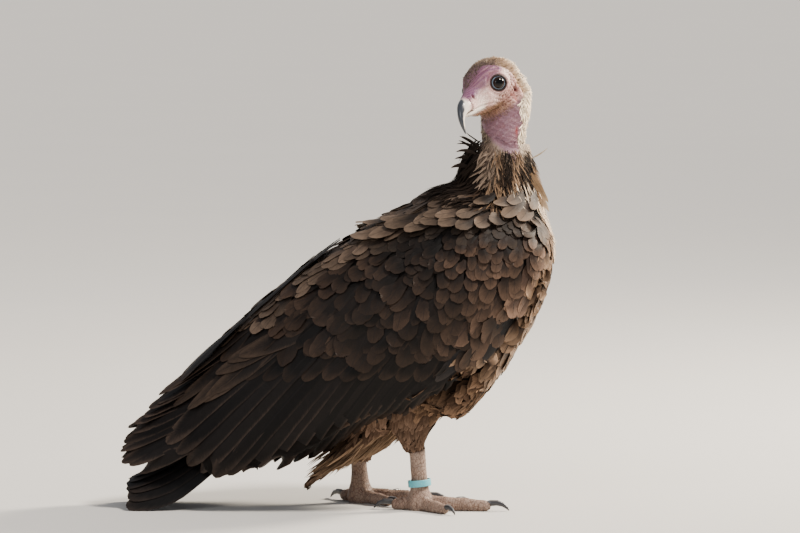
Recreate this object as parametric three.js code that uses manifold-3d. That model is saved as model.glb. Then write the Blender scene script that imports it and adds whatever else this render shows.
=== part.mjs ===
// Hooded vulture, standing at rest with its head turned back over its right shoulder.
// Millimetres. +X is the way the body faces, +Y its left side, +Z up; the floor is z = 0.
import * as THREE from 'three';
import { mergeVertices } from 'three/addons/utils/BufferGeometryUtils.js';
import Module from 'manifold-3d';

const wasm = await Module();
wasm.setup();

// ------------------------------------------------------------------ driving dimensions
const GAP = 0.3; // clearance between pieces that touch
const WING_PLATE_SHOULDER = 15; // thickness of the folded wing at the wrist
const WING_PLATE_TIP = 6; // and of the stacked feathers at its tip
const PRIMARIES_SINK = 2.5; // the wing tip lies this far under the rest of the wing

const HEAD_ORIGIN = new THREE.Vector3(85, -14, 443); // the point midway between the eyes
const HEAD_FORWARD = new THREE.Vector3(-0.51, -0.81, -0.28);
const HEAD_UP = new THREE.Vector3(-0.37, -0.09, 0.92);
const EYE_RADIUS = 8.2;
const EYE_CENTRE = { forward: -3.5, side: 18.2, up: -2 };

const STANCE = {
  right: { x: 21, y: -35, heading: -8, hallux: 174 },
  left: { x: -42, y: 33, heading: -6, hallux: 224 },
};
const TARSUS_RADIUS = 8.3;
const TARSUS_TOP = 84; // where the bare leg has gone well inside the thigh's feathers
const RING = { height: 7, inner: 10.9, outer: 12.1, chamfer: 0.5, x: -0.6, z: 28.6, tilt: 6 };

// Each toe: direction from the foot's heading (degrees, positive towards the body's middle),
// length to the root of its claw, thickness against the middle toe, and length of the claw.
const TOES = {
  2: { turn: 42, length: 46, girth: 0.88, claw: 21 },
  3: { turn: 0, length: 72, girth: 0.96, claw: 22 },
  4: { turn: -47, length: 46, girth: 0.86, claw: 17 },
};
const HALLUX = { length: 29, girth: 0.92, claw: 21 };

// The body seen from its side. Each row is one slice: the x and z of its top, the x and z of
// its bottom, its half width, how high its widest level is (0 bottom, 1 top), and the
// squareness of its upper and lower halves (2 is an ellipse).
const WING_SLICES = [
  [-306, 69, -296, 22, 33, 0.2, 1.5, 3],
  [-262, 104, -242, 20, 46, 0.2, 1.5, 3],
  [-236, 127, -202, 18, 56, 0.24, 1.6, 3],
  [-197, 171, -150, 24, 68, 0.3, 1.75, 3.2],
  [-133, 228, -84, 36, 80, 0.36, 1.9, 3.2],
  [-87, 265, -30, 56, 87, 0.42, 2.1, 3],
  [-21, 306, 24, 68, 92, 0.46, 2.2, 2.8],
  [10, 321, 62, 90, 93, 0.48, 2.2, 2.6],
  [50, 343, 98, 127, 92, 0.5, 2.2, 2.4],
  [90, 341, 126, 169, 87, 0.5, 2.1, 2.2],
  [125, 334, 149, 212, 76, 0.5, 2, 2],
  [146, 317, 159, 247, 55, 0.5, 2, 2],
  [157, 296, 162, 272, 26, 0.5, 2, 2],
];
const TRUNK_SLICES = [
  [-152, 168, -140, 108, 20, 0.5, 2, 2],
  [-120, 203, -100, 88, 44, 0.5, 2, 2],
  [-80, 237, -50, 78, 60, 0.48, 2.1, 2.1],
  [-30, 281, 2, 80, 70, 0.48, 2.2, 2.1],
  [10, 306, 42, 96, 75, 0.5, 2.2, 2],
  [50, 329, 83, 127, 76, 0.5, 2.2, 2],
  [90, 333, 115, 170, 72, 0.5, 2.1, 2],
  [122, 327, 139, 209, 62, 0.5, 2, 2],
  [143, 314, 155, 244, 47, 0.5, 2, 2],
  [155, 295, 160, 268, 24, 0.5, 2, 2],
];
// The lower edge of the mantle, and under it the upper edge of the wing.
const MANTLE_EDGE = [
  [156, 300], [125, 306], [101, 311], [77, 305], [31, 297], [0, 285], [-42, 272], [-73, 259], [-112, 252],
];
// The breast between the two wings, seen from the front: y and z of its right half, upwards.
const BREAST_EDGE = [
  [0, 90], [-70, 90], [-64, 130], [-52, 170], [-40, 215], [-31, 260], [-27, 300], [-30, 345], [0, 345],
];
// The same breast from the side: x and z of its back and of its slope up to the belly.
const BREAST_BACK = [[30, 345], [30, 112], [75, 88], [170, 60]];
// The wing's outline on from there: the cut where its tip begins, then back along the lower edge.
const WING_CUT = [[-242, 136], [-208, 50]];
const WING_LOWER_EDGE = [
  [-200, 37], [-187, 34.5], [-176, 37.5], [-165, 47.5], [-148, 44], [-143, 51.5], [-133, 57], [-110, 59],
  [-90, 68], [-52.7, 91.5], [-14.7, 107.5], [43, 140], [63, 143.5], [84, 153], [101, 166], [110, 180],
  [122, 201], [130, 208], [144, 230], [153, 248], [156, 272],
];
const PRIMARY_TIPS = [
  [-262, 125], [-280, 94], [-287, 87], [-284, 82], [-292, 79], [-293.5, 70], [-288, 66],
  [-294.5, 59], [-290, 55], [-298, 49], [-281, 43], [-262, 45],
];

// The tail from its side: top x and z, then the x and z of its low outer edges, then half width.
const TAIL_ROWS = [
  [-128, 124, -122, 108, 20],
  [-165, 103, -158, 76, 30],
  [-205, 78, -200, 46, 38],
  [-245, 52, -240, 14, 45],
  [-286, 31, -291, -2.5, 48],
];
const TAIL_THICKNESS = 5;
const WING_TIP_GAP = { front: -262, half: 20, top: 60 }; // the tail shows between the wing tips here
const MANTLE_BACK = -101; // the mantle's feathers reach back to here
const TAIL_END = [
  [-120, 150], [-280, 60], [-279, 36], [-284, 20], [-291.5, 6], [-289, -1], [-274, -1], [-269, 5],
  [-265, -1], [-254, -1], [-250, 7], [-206, 38], [-150, 60],
];

// Neck: centre x, y, z and half widths across and fore-and-aft.
const NECK_ROWS = [
  [117, 0, 308, 26, 28],
  [115.5, 0, 336, 25, 26.5],
  [111, 1, 362, 22, 23],
  [108.4, 2, 386, 21, 21.8],
  [109, 5, 405, 21.5, 24.2],
  [111, 8, 422, 22, 25.4],
  [112, 11, 439, 20.5, 24.2],
  [110, 14, 454, 15.5, 17.5],
  [108, 15, 462, 6, 7],
];
// Ruff of hackles round the foot of the neck, in the same form.
const RUFF_ROWS = [
  [104, 0, 290, 48, 46],
  [103, 0, 316, 56, 50],
  [102, 0, 340, 46, 46],
  [102, 0, 358, 37, 40.5],
  [99.5, 1, 376, 29, 35.5],
  [93.5, 2, 391, 22, 27],
  [85, 3, 401, 13, 14],
];

// Head, in its own frame: forward and up of each slice's top and bottom, then half width,
// widest level and squareness.
const HEAD_SLICES = [
  [-52.5, 3, -51.5, -7, 9, 0.5, 2, 2],
  [-47, 12.5, -45.5, -14, 20, 0.5, 2, 2],
  [-37, 20, -36, -20, 26, 0.5, 2.1, 2.1],
  [-24, 24.2, -24, -23.5, 27.6, 0.5, 2.2, 2.3],
  [-10, 22.6, -10, -26, 25.4, 0.53, 2.3, 2.2],
  [2, 18.2, 1, -27, 21.6, 0.56, 2.3, 2],
  [12, 12.8, 11, -26, 17.6, 0.55, 2.3, 2],
  [21, 7.4, 20, -25, 12, 0.55, 2.1, 2],
  [30, 3.6, 29, -23, 9.2, 0.52, 2, 2],
  [39, 0.2, 38, -20.5, 7.4, 0.5, 2, 2],
];
// The upper bill's horn: a cap over the front and the cutting edge back to the gape.
const UPPER_BILL_SLICES = [
  [33, 1.9, 33, -15, 6.6, 0.35, 2, 2.4],
  [41, 0, 41, -15.4, 6.6, 0.35, 2, 2.4],
  [48, -2.8, 46.6, -16, 5.6, 0.35, 2, 2.4],
  [53.6, -8.8, 50, -18.5, 4.4, 0.4, 2, 2.2],
  [57.4, -17, 53, -22, 3.2, 0.5, 2, 2],
  [58.8, -25, 55, -27.6, 2, 0.5, 2, 2],
  [57.9, -33.2, 57, -33.8, 0.6, 0.5, 2, 2],
];
const LOWER_BILL_SLICES = [
  [14, -15.2, 14, -21.8, 10.2, 0.7, 2.6, 2],
  [24, -15.4, 24, -21.6, 8.6, 0.7, 2.6, 2],
  [34, -15.6, 34, -21, 6.9, 0.7, 2.6, 2],
  [42, -16, 42, -20.2, 5.2, 0.7, 2.6, 2],
  [47.6, -17, 47.6, -18.6, 2.4, 0.7, 2.6, 2],
];
const CERE_END = 37; // forward of this the bill is horn

// Thighs: centre x, y, z and half widths across and fore-and-aft.
const THIGH_ROWS = {
  right: [
    [24, -39, 138, 30, 40], [18, -37, 114, 25, 33], [13.5, -36, 96, 20, 26.5],
    [12.5, -35, 82, 15.5, 19], [14, -35, 70, 11.5, 12.5], [15, -35, 62, 9.6, 9.6],
  ],
  left: [
    [-20, 37, 135, 30, 40], [-27, 35, 107, 25, 34], [-32, 34, 85, 20, 28],
    [-36, 33, 67, 15, 18], [-40, 33, 53, 11.5, 11.5], [-41, 33, 45, 9.6, 9.6],
  ],
};
// Long loose feathers behind the legs: centre x, y, z and half widths across and in depth.
const VENT_ROWS = [
  [6, 0, 104, 44, 22],
  [-28, 0, 84, 38, 19],
  [-58, -2, 60, 26, 12],
  [-82, -4, 38, 13, 6],
  [-99, -5, 21.5, 3, 1.2],
];

// ------------------------------------------------------------------ colours
const COLOURS = {
  feather: 0x3b2e27, flight: 0x1d1a1a, trousers: 0x6d543f, skin: 0xc9a0a6, down: 0xcbb8a0,
  horn: 0x3a4048, eye: 0x140f0d, leg: 0xb9aaa6, claw: 0x23242a, ring: 0x62aeb8,
};

// ------------------------------------------------------------------ shape helpers
/** Catmull-Rom value between b and c, where a comes before b and d after c. */
function between(a, b, c, d, t) {
  const slope = c - a;
  const bend = 2 * a - 5 * b + 4 * c - d;
  const turn = 3 * b - a - 3 * c + d;
  return 0.5 * (2 * b + t * (slope + t * (bend + t * turn)));
}

/** The rows with `steps` smooth steps from each row to the next. */
function smoothRows(rows, steps) {
  const last = rows.length - 1;
  const out = [];
  for (let i = 0; i < last; i += 1) {
    const [a, b, c, d] = [rows[Math.max(i - 1, 0)], rows[i], rows[i + 1], rows[Math.min(i + 2, last)]];
    for (let s = 0; s < steps; s += 1) {
      out.push(b.map((_, k) => between(a[k], b[k], c[k], d[k], s / steps)));
    }
  }
  out.push([...rows[last]]);
  return out;
}

/** One ring of points: an oval whose upper and lower halves have their own reach and squareness. */
function oval({ centre, side, up, down, upPower = 2, lowPower = 2 }, around) {
  const points = [];
  for (let k = 0; k < around; k += 1) {
    const angle = (2 * Math.PI * k) / around;
    const [c, s] = [Math.cos(angle), Math.sin(angle)];
    const power = s > 0 ? upPower : lowPower;
    const lift = Math.abs(s) ** (2 / power);
    points.push(centre.clone()
      .addScaledVector(side, Math.sign(c) * Math.abs(c) ** (2 / power))
      .addScaledVector(s > 0 ? up : down, lift));
  }
  return points;
}

/** A closed geometry from rings that follow each other, capped at both ends, facing out. */
function closeRings(rings) {
  const around = rings[0].length;
  const points = rings.flat();
  points.push(middleOf(rings[0]), middleOf(rings[rings.length - 1]));
  const index = [];
  for (let r = 0; r + 1 < rings.length; r += 1) {
    for (let k = 0; k < around; k += 1) {
      const [a, b] = [r * around + k, r * around + ((k + 1) % around)];
      index.push(a, b, b + around, a, b + around, a + around);
    }
  }
  const [firstCap, lastCap] = [points.length - 2, points.length - 1];
  const lastRing = (rings.length - 1) * around;
  for (let k = 0; k < around; k += 1) {
    const next = (k + 1) % around;
    index.push(firstCap, next, k, lastCap, lastRing + k, lastRing + next);
  }
  const geometry = new THREE.BufferGeometry().setFromPoints(points);
  geometry.setIndex(index);
  return faceOut(geometry);
}

/** The same geometry with its faces turned out, whichever way its rings ran. */
function faceOut(geometry) {
  const at = geometry.getAttribute('position');
  const { array } = geometry.index;
  const [a, b, c] = [new THREE.Vector3(), new THREE.Vector3(), new THREE.Vector3()];
  let volume = 0;
  for (let i = 0; i < array.length; i += 3) {
    a.fromBufferAttribute(at, array[i]);
    b.fromBufferAttribute(at, array[i + 1]);
    c.fromBufferAttribute(at, array[i + 2]);
    volume += a.dot(b.cross(c));
  }
  if (volume < 0) {
    for (let i = 0; i < array.length; i += 3) [array[i], array[i + 1]] = [array[i + 1], array[i]];
  }
  return geometry;
}

/** The middle of a ring of points. */
function middleOf(ring) {
  return ring.reduce((sum, point) => sum.add(point), new THREE.Vector3()).divideScalar(ring.length);
}

/** Moves the first and last rings outward along the loft, so that a grown loft is longer too. */
function stretchEnds(rings, grow) {
  for (const [end, inner] of [[0, 1], [rings.length - 1, rings.length - 2]]) {
    const step = middleOf(rings[end]).sub(middleOf(rings[inner])).setLength(grow);
    for (const point of rings[end]) point.add(step);
  }
}

/** A loft of slices seen from the side; `grow` makes it larger all round. */
function sliceLoft(slices, { steps = 2, around = 16, grow = 0 } = {}) {
  const rings = smoothRows(slices, steps).map((row) => {
    const [topX, topZ, lowX, lowZ, half, level, upPower, lowPower] = row;
    const top = new THREE.Vector3(topX, 0, topZ);
    const low = new THREE.Vector3(lowX, 0, lowZ);
    const rise = top.clone().sub(low).setLength(grow);
    const centre = low.clone().lerp(top, level);
    return oval({
      centre,
      side: new THREE.Vector3(0, half + grow, 0),
      up: top.sub(centre).add(rise),
      down: low.sub(centre).sub(rise),
      upPower,
      lowPower,
    }, around);
  });
  if (grow !== 0) stretchEnds(rings, Math.abs(grow));
  return closeRings(rings);
}

/** A loft along a path of rows [x, y, z, half width, half depth], with `up` across its depth. */
function pathLoft(rows, up, { steps = 2, around = 14, grow = 0 } = {}) {
  const fine = smoothRows(rows, steps);
  const at = (i) => new THREE.Vector3(...fine[Math.min(Math.max(i, 0), fine.length - 1)].slice(0, 3));
  const rings = fine.map((row, i) => {
    const along = at(i + 1).sub(at(i - 1)).normalize();
    const side = along.clone().cross(up).normalize();
    const over = side.clone().cross(along).normalize();
    return oval({
      centre: at(i),
      side: side.multiplyScalar(row[3] + grow),
      up: over.clone().multiplyScalar(row[4] + grow),
      down: over.multiplyScalar(-row[4] - grow),
    }, around);
  });
  if (grow !== 0) stretchEnds(rings, grow);
  return closeRings(rings);
}

/** An outline in x and z, drawn through the body from y = `from` to y = `to`. */
function sidePrism(outline, from, to) {
  const shape = new THREE.Shape(outline.map(([x, z]) => new THREE.Vector2(x, z)));
  const prism = new THREE.ExtrudeGeometry(shape, { depth: to - from, bevelEnabled: false });
  prism.rotateX(Math.PI / 2);
  prism.translate(0, to, 0);
  return prism;
}

/** A block between two corners. */
function block(low, high) {
  const size = high.map((value, i) => value - low[i]);
  const centre = high.map((value, i) => (value + low[i]) / 2);
  return new THREE.BoxGeometry(...size).translate(...centre);
}

/** A geometry as a solid that can be joined and cut. */
function solid(geometry) {
  const bare = geometry.clone();
  bare.deleteAttribute('normal');
  bare.deleteAttribute('uv');
  const merged = mergeVertices(bare, 1e-4);
  return new wasm.Manifold(new wasm.Mesh({
    numProp: 3,
    vertProperties: new Float32Array(merged.getAttribute('position').array),
    triVerts: new Uint32Array(merged.index.array),
  }));
}

/** The largest piece of a solid, without the crumbs that a cut may leave. */
function mainPiece(cut) {
  return cut.decompose().reduce((best, piece) => (piece.volume() > best.volume() ? piece : best));
}

/** A solid back as a geometry, mirrored left to right if asked. */
function geometryOf(cut, mirrored = false) {
  const mesh = mainPiece(cut).getMesh();
  const geometry = new THREE.BufferGeometry();
  geometry.setAttribute('position', new THREE.BufferAttribute(new Float32Array(mesh.vertProperties), 3));
  geometry.setIndex(new THREE.BufferAttribute(new Uint32Array(mesh.triVerts), 1));
  if (mirrored) {
    geometry.scale(1, -1, 1);
    faceOut(geometry);
  }
  return geometry;
}

/** A named mesh with its colour. */
function piece(name, geometry, colour, roughness = 0.8) {
  geometry.computeVertexNormals();
  const material = new THREE.MeshStandardMaterial({ color: colour, roughness, metalness: 0 });
  const mesh = new THREE.Mesh(geometry, material);
  mesh.name = name;
  return mesh;
}

const UP = new THREE.Vector3(0, 0, 1);
const FORWARD = new THREE.Vector3(1, 0, 0);
const OUTSIDE = 600; // a coordinate that is outside the bird on every side
const ABOVE_FLOOR = solid(block([-OUTSIDE, -OUTSIDE, 0], [OUTSIDE, OUTSIDE, OUTSIDE]));
const vulture = new THREE.Group();

// ------------------------------------------------------------------ trunk, wings and tail
/** Wing slices drawn in by the thickness that the folded wing has at each of them. */
function wingBed() {
  const last = WING_SLICES.length - 1;
  return WING_SLICES.map((row, i) => {
    const plate = THREE.MathUtils.lerp(WING_PLATE_TIP, WING_PLATE_SHOULDER, Math.min(1, (1.4 * i) / last));
    const [topX, topZ, lowX, lowZ, half, level, upPower, lowPower] = row;
    const tilt = Math.hypot(topX - lowX, topZ - lowZ);
    const [dx, dz] = [(plate * (topX - lowX)) / tilt, (plate * (topZ - lowZ)) / tilt];
    return [topX - dx, topZ - dz, lowX - dx, lowZ - dz - 6, half - plate, level, upPower, lowPower];
  });
}

const trunkCore = solid(sliceLoft(TRUNK_SLICES, { steps: 1 }));
const trunkRoom = solid(sliceLoft(TRUNK_SLICES, { steps: 1, grow: GAP }));
const wingShell = solid(sliceLoft(WING_SLICES));
const tipGap = block(
  [-OUTSIDE, -WING_TIP_GAP.half, 0],
  [WING_TIP_GAP.front, WING_TIP_GAP.half, WING_TIP_GAP.top],
);
const bed = solid(sliceLoft(wingBed(), { steps: 1 })).add(solid(tipGap));

/** The space between the wings that holds the breast, larger by `grow`. */
function breastSpace(grow) {
  const right = BREAST_EDGE.map(([y, z]) => [y - grow, z]);
  const left = right.map(([y, z]) => [-y, z]).reverse();
  const fromFront = sidePrism([...right, ...left], -OUTSIDE, OUTSIDE).rotateZ(Math.PI / 2);
  const back = BREAST_BACK.map(([x, z]) => [x - grow, z - grow]);
  const fromSide = sidePrism([...back, [OUTSIDE, OUTSIDE]], -OUTSIDE, OUTSIDE);
  return solid(fromFront).intersect(solid(fromSide));
}

const mantleRegion = [
  ...MANTLE_EDGE.map(([x, z]) => [x, z + GAP]), [MANTLE_BACK, OUTSIDE], [OUTSIDE, OUTSIDE], [OUTSIDE, 303],
];
const mantle = wingShell.intersect(solid(sidePrism(mantleRegion, -OUTSIDE, OUTSIDE)))
  .intersect(solid(block([MANTLE_BACK, -OUTSIDE, 0], [OUTSIDE, OUTSIDE, OUTSIDE])));
const breast = wingShell.intersect(breastSpace(0));
const breastRoom = solid(sliceLoft(WING_SLICES, { grow: GAP })).intersect(breastSpace(GAP));
const bodyRoom = trunkRoom.add(breastRoom);
const neckRoom = solid(pathLoft(NECK_ROWS, FORWARD, { steps: 1, around: 16, grow: GAP }));
const ruffRoom = solid(pathLoft(RUFF_ROWS, FORWARD, { steps: 1, around: 16, grow: GAP }));
const trunk = trunkCore.add(mantle).add(breast).subtract(neckRoom).subtract(ruffRoom);

const tailRoom = solid(tailLoft(TAIL_THICKNESS, GAP));
const wingRegion = [
  ...MANTLE_EDGE, [-120, 300], [-240, 170], ...WING_CUT, ...WING_LOWER_EDGE,
];
const [cutTop, cutLow] = WING_CUT;
const primaryRegion = [[cutTop[0] - GAP, cutTop[1]], ...PRIMARY_TIPS, [cutLow[0] - GAP, cutLow[1]]];
const primaryShell = solid(sliceLoft(WING_SLICES, { grow: -PRIMARIES_SINK }));
const underWing = bed.add(trunkRoom).add(ruffRoom).add(tailRoom).add(breastSpace(GAP));
const rightWing = wingShell.intersect(solid(sidePrism(wingRegion, -OUTSIDE, -GAP))).subtract(underWing);
const rightPrimaries = primaryShell.intersect(solid(sidePrism(primaryRegion, -OUTSIDE, -GAP)))
  .subtract(underWing);

/** The tail as a roof: a ridge down its middle and two low outer edges. */
function tailLoft(thickness, grow) {
  const rings = smoothRows(TAIL_ROWS, 2).map(([topX, topZ, lowX, lowZ, half]) => {
    const ring = [];
    const steps = 3;
    for (const [side, depth] of [[1, grow], [-1, -thickness - grow]]) {
      for (let k = -steps; k <= steps; k += 1) {
        const t = (side * k) / steps;
        const drop = t * t;
        ring.push(new THREE.Vector3(
          THREE.MathUtils.lerp(topX, lowX, drop),
          t * (half + grow),
          THREE.MathUtils.lerp(topZ, lowZ, drop) + depth,
        ));
      }
    }
    return ring;
  });
  return closeRings(rings);
}
const tail = solid(tailLoft(TAIL_THICKNESS, 0)).intersect(solid(sidePrism(TAIL_END, -OUTSIDE, OUTSIDE)))
  .intersect(ABOVE_FLOOR).subtract(trunkRoom);

vulture.add(piece('wing_right', geometryOf(rightWing), COLOURS.feather));
vulture.add(piece('wing_left', geometryOf(rightWing, true), COLOURS.feather));
vulture.add(piece('primaries_right', geometryOf(rightPrimaries), COLOURS.flight));
vulture.add(piece('primaries_left', geometryOf(rightPrimaries, true), COLOURS.flight));
vulture.add(piece('tail', geometryOf(tail), COLOURS.flight));
vulture.add(piece('trunk', geometryOf(trunk), COLOURS.feather));

// ------------------------------------------------------------------ head and bill
const headPose = new THREE.Group();
const headSide = HEAD_UP.clone().cross(HEAD_FORWARD).normalize();
const headForward = HEAD_FORWARD.clone().normalize();
const headMatrix = new THREE.Matrix4()
  .makeBasis(headForward, headSide, headForward.clone().cross(headSide))
  .setPosition(HEAD_ORIGIN);
headMatrix.decompose(headPose.position, headPose.quaternion, headPose.scale);
vulture.add(headPose);

/** The two eyeballs, larger by `grow`. */
function eyeball(side, grow) {
  const ball = new THREE.SphereGeometry(EYE_RADIUS + grow, 10, 7);
  return ball.translate(EYE_CENTRE.forward, side * EYE_CENTRE.side, EYE_CENTRE.up);
}

const frontOfCere = solid(block([CERE_END, -OUTSIDE, -OUTSIDE], [OUTSIDE, OUTSIDE, OUTSIDE]));
const behindCere = solid(block([-OUTSIDE, -OUTSIDE, -OUTSIDE], [CERE_END - GAP, OUTSIDE, OUTSIDE]));
const upperBill = solid(sliceLoft(UPPER_BILL_SLICES, { around: 10 })).intersect(frontOfCere);
const lowerRoom = solid(sliceLoft(LOWER_BILL_SLICES, { steps: 1, around: 12, grow: GAP }));
const lowerBill = solid(sliceLoft(LOWER_BILL_SLICES, { steps: 1, around: 12 }));
let head = solid(sliceLoft(HEAD_SLICES)).intersect(behindCere).subtract(lowerRoom);
for (const [name, side] of [['eye_left', 1], ['eye_right', -1]]) {
  head = head.subtract(solid(eyeball(side, GAP)));
  headPose.add(piece(name, geometryOf(solid(eyeball(side, 0))), COLOURS.eye, 0.1));
}
headPose.add(piece('head', geometryOf(head), COLOURS.skin));
headPose.add(piece('bill_upper', geometryOf(upperBill.subtract(lowerRoom)), COLOURS.horn, 0.35));
headPose.add(piece('bill_lower', geometryOf(lowerBill), COLOURS.horn, 0.35));

// ------------------------------------------------------------------ neck and ruff
const headRoom = solid(sliceLoft(HEAD_SLICES, { grow: GAP }).applyMatrix4(headMatrix));
const neck = solid(pathLoft(NECK_ROWS, FORWARD, { steps: 1, around: 16 }))
  .subtract(headRoom).subtract(lowerRoom.transform(headMatrix.elements));
const ruff = solid(pathLoft(RUFF_ROWS, FORWARD, { steps: 1, around: 16 }))
  .subtract(neckRoom).subtract(headRoom);
vulture.add(piece('neck', geometryOf(neck), COLOURS.skin));
vulture.add(piece('ruff', geometryOf(ruff), COLOURS.down));

// ------------------------------------------------------------------ legs and feet
const thighs = {};
for (const [side, rows] of Object.entries(THIGH_ROWS)) {
  thighs[side] = (grow) => pathLoft(rows, FORWARD, { steps: 1, around: 12, grow });
  const thigh = solid(thighs[side](0)).subtract(bodyRoom);
  vulture.add(piece(`thigh_${side}`, geometryOf(thigh), COLOURS.trousers));
}
const legsRoom = solid(thighs.right(GAP)).add(solid(thighs.left(GAP)));
const vent = solid(pathLoft(VENT_ROWS, UP, { steps: 1, around: 12 }))
  .subtract(bodyRoom).subtract(legsRoom).subtract(tailRoom).subtract(rightWing);
vulture.add(piece('vent', geometryOf(vent), COLOURS.trousers));

/** Rows of a toe that runs along +x from the foot's middle, its joints a little swollen. */
function toeRows(length, girth) {
  const shape = [
    [0.06, 8.6, 6.6, 9.4], [0.22, 7.6, 6.5, 8.4], [0.36, 7.4, 7.3, 8.2], [0.5, 6.6, 5.9, 7.4],
    [0.66, 6.8, 6.9, 7.6], [0.82, 5.9, 5.6, 6.6], [0.94, 5.8, 5.5, 6.4], [1.03, 5.6, 3.4, 4.2],
  ];
  return shape.map(([part, z, wide, deep]) => [part * length, 0, z * girth, wide * girth, deep * girth]);
}

/** Rows of a claw that springs from the end of a toe and curves down to the floor. */
function clawRows(length, girth, claw) {
  const shape = [
    [-0.16, 7, 3.4, 3.7], [0.14, 8.9, 3.2, 3.7], [0.44, 9.1, 2.7, 3.3],
    [0.72, 7, 2, 2.5], [0.91, 3.6, 1.2, 1.5], [1, 0.8, 0.4, 0.5],
  ];
  return shape.map(([part, z, wide, deep]) => [
    length + part * claw, 0, z * (z > 1 ? girth : 1), wide * girth, deep * girth,
  ]);
}

/** Tarsus rows from the sole up, with the foot's swollen root at its end. */
const TARSUS_ROWS = [
  [0, 0, -1.5, 10.5, 12], [0, 0, 6, 12, 14], [0, 0, 14, 10.8, 12.6], [-0.5, 0, 22, 8.8, 9.8],
  [-1, 0, 34, TARSUS_RADIUS * 0.92, TARSUS_RADIUS], [-2.5, 0, 56, TARSUS_RADIUS * 0.92, TARSUS_RADIUS],
  [-5, 0, TARSUS_TOP, TARSUS_RADIUS, TARSUS_RADIUS * 1.1],
];

for (const [side, stance] of Object.entries(STANCE)) {
  const inward = side === 'right' ? 1 : -1;
  const foot = new THREE.Group();
  foot.position.set(stance.x, stance.y, 0);
  foot.rotation.z = THREE.MathUtils.degToRad(stance.heading);
  foot.updateMatrix();
  vulture.add(foot);
  const toFoot = foot.matrix.clone().invert();
  const thighRoom = solid(thighs[side](GAP).applyMatrix4(toFoot));
  const shank = solid(pathLoft(TARSUS_ROWS, FORWARD, { steps: 1, around: 12 }))
    .intersect(ABOVE_FLOOR).subtract(thighRoom);
  const shankRoom = solid(pathLoft(TARSUS_ROWS, FORWARD, { steps: 1, around: 12, grow: GAP }));
  foot.add(piece(`tarsus_${side}`, geometryOf(shank), COLOURS.leg));

  let taken = shankRoom;
  const toes = [[3, TOES[3]], [2, TOES[2]], [4, TOES[4]], [1, { ...HALLUX, turn: stance.hallux }]];
  for (const [number, { turn, length, girth, claw }] of toes) {
    const swing = THREE.MathUtils.degToRad(inward * turn);
    const place = (rows, grow, around) => (
      solid(pathLoft(rows, UP, { steps: 1, around, grow }).rotateZ(swing)));
    const toe = place(toeRows(length, girth), 0, 8).intersect(ABOVE_FLOOR).subtract(taken);
    const clawShape = place(clawRows(length, girth, claw), 0, 7).intersect(ABOVE_FLOOR);
    const toeRoom = place(toeRows(length, girth), GAP, 8);
    taken = taken.add(toeRoom);
    foot.add(piece(`toe_${side}_${number}`, geometryOf(toe), COLOURS.leg));
    foot.add(piece(`claw_${side}_${number}`, geometryOf(clawShape.subtract(toeRoom)), COLOURS.claw, 0.3));
  }

  if (side === 'right') {
    const half = RING.height / 2;
    const rim = half - RING.chamfer;
    const profile = [
      [RING.inner, -half], [RING.outer, -rim], [RING.outer, rim], [RING.inner, half], [RING.inner, -half],
    ].map(([radius, height]) => new THREE.Vector2(radius, height));
    const band = new THREE.LatheGeometry(profile, 20).rotateX(Math.PI / 2);
    const ring = piece('leg_ring', geometryOf(solid(band)), COLOURS.ring, 0.5);
    ring.position.set(RING.x, 0, RING.z);
    ring.rotation.y = THREE.MathUtils.degToRad(-RING.tilt);
    foot.add(ring);
  }
}


// ------------------------------------------------------------------ origin under the middle
vulture.updateMatrixWorld(true);
const extent = new THREE.Box3().setFromObject(vulture, true);
const middle = extent.getCenter(new THREE.Vector3());
vulture.position.set(-middle.x, -middle.y, -extent.min.z);

export default vulture;
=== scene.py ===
"""A hooded vulture standing still at life size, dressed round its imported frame.

Sizes are millimetres in the frame's own axes (x forward, y to the bird's left, z up, floor at
z = 0) until a mesh is written, when they become metres.
"""

import logging
import math
from dataclasses import dataclass, field
from enum import Enum

import bpy
import numpy as np
from mathutils import Matrix, Vector
from mathutils.bvhtree import BVHTree


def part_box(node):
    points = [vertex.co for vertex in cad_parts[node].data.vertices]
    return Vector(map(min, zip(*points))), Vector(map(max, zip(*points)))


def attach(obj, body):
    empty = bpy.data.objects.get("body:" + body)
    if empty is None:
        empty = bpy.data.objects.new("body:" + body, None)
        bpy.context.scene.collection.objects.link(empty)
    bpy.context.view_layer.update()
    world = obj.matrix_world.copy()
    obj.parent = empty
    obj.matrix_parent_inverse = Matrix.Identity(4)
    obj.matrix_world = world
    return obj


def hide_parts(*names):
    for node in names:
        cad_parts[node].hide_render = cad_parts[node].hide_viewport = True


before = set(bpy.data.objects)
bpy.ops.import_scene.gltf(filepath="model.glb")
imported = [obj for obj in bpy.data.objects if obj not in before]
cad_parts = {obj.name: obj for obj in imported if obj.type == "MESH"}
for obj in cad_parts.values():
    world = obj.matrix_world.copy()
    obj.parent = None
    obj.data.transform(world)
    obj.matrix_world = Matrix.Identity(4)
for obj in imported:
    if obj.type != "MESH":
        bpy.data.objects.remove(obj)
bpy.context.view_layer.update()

MM = 0.001
SEED = 20
SIDES = ("left", "right")
TOES = (1, 2, 3, 4)
BODY = "root"
log = logging.getLogger("vulture")

Array = np.ndarray
Colour = tuple[float, float, float]
Pair = tuple[float, float]
Chance = np.random.Generator
Piece = bpy.types.Object
Material = bpy.types.Material
Socket = bpy.types.NodeSocket
Tree = bpy.types.NodeTree
Node = bpy.types.Node


# ---------------------------------------------------------------- shapes and meshes
def unit(vectors: Array) -> Array:
    """The vectors at length 1, along the last axis."""
    return vectors / np.maximum(np.linalg.norm(vectors, axis=-1, keepdims=True), 1e-12)


def step_up(value: Array | float, low: float, high: float) -> Array:
    """A smooth rise from 0 at `low` to 1 at `high`."""
    t = np.clip((np.asarray(value, float) - low) / (high - low), 0, 1)
    return t * t * (3 - 2 * t)


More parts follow.
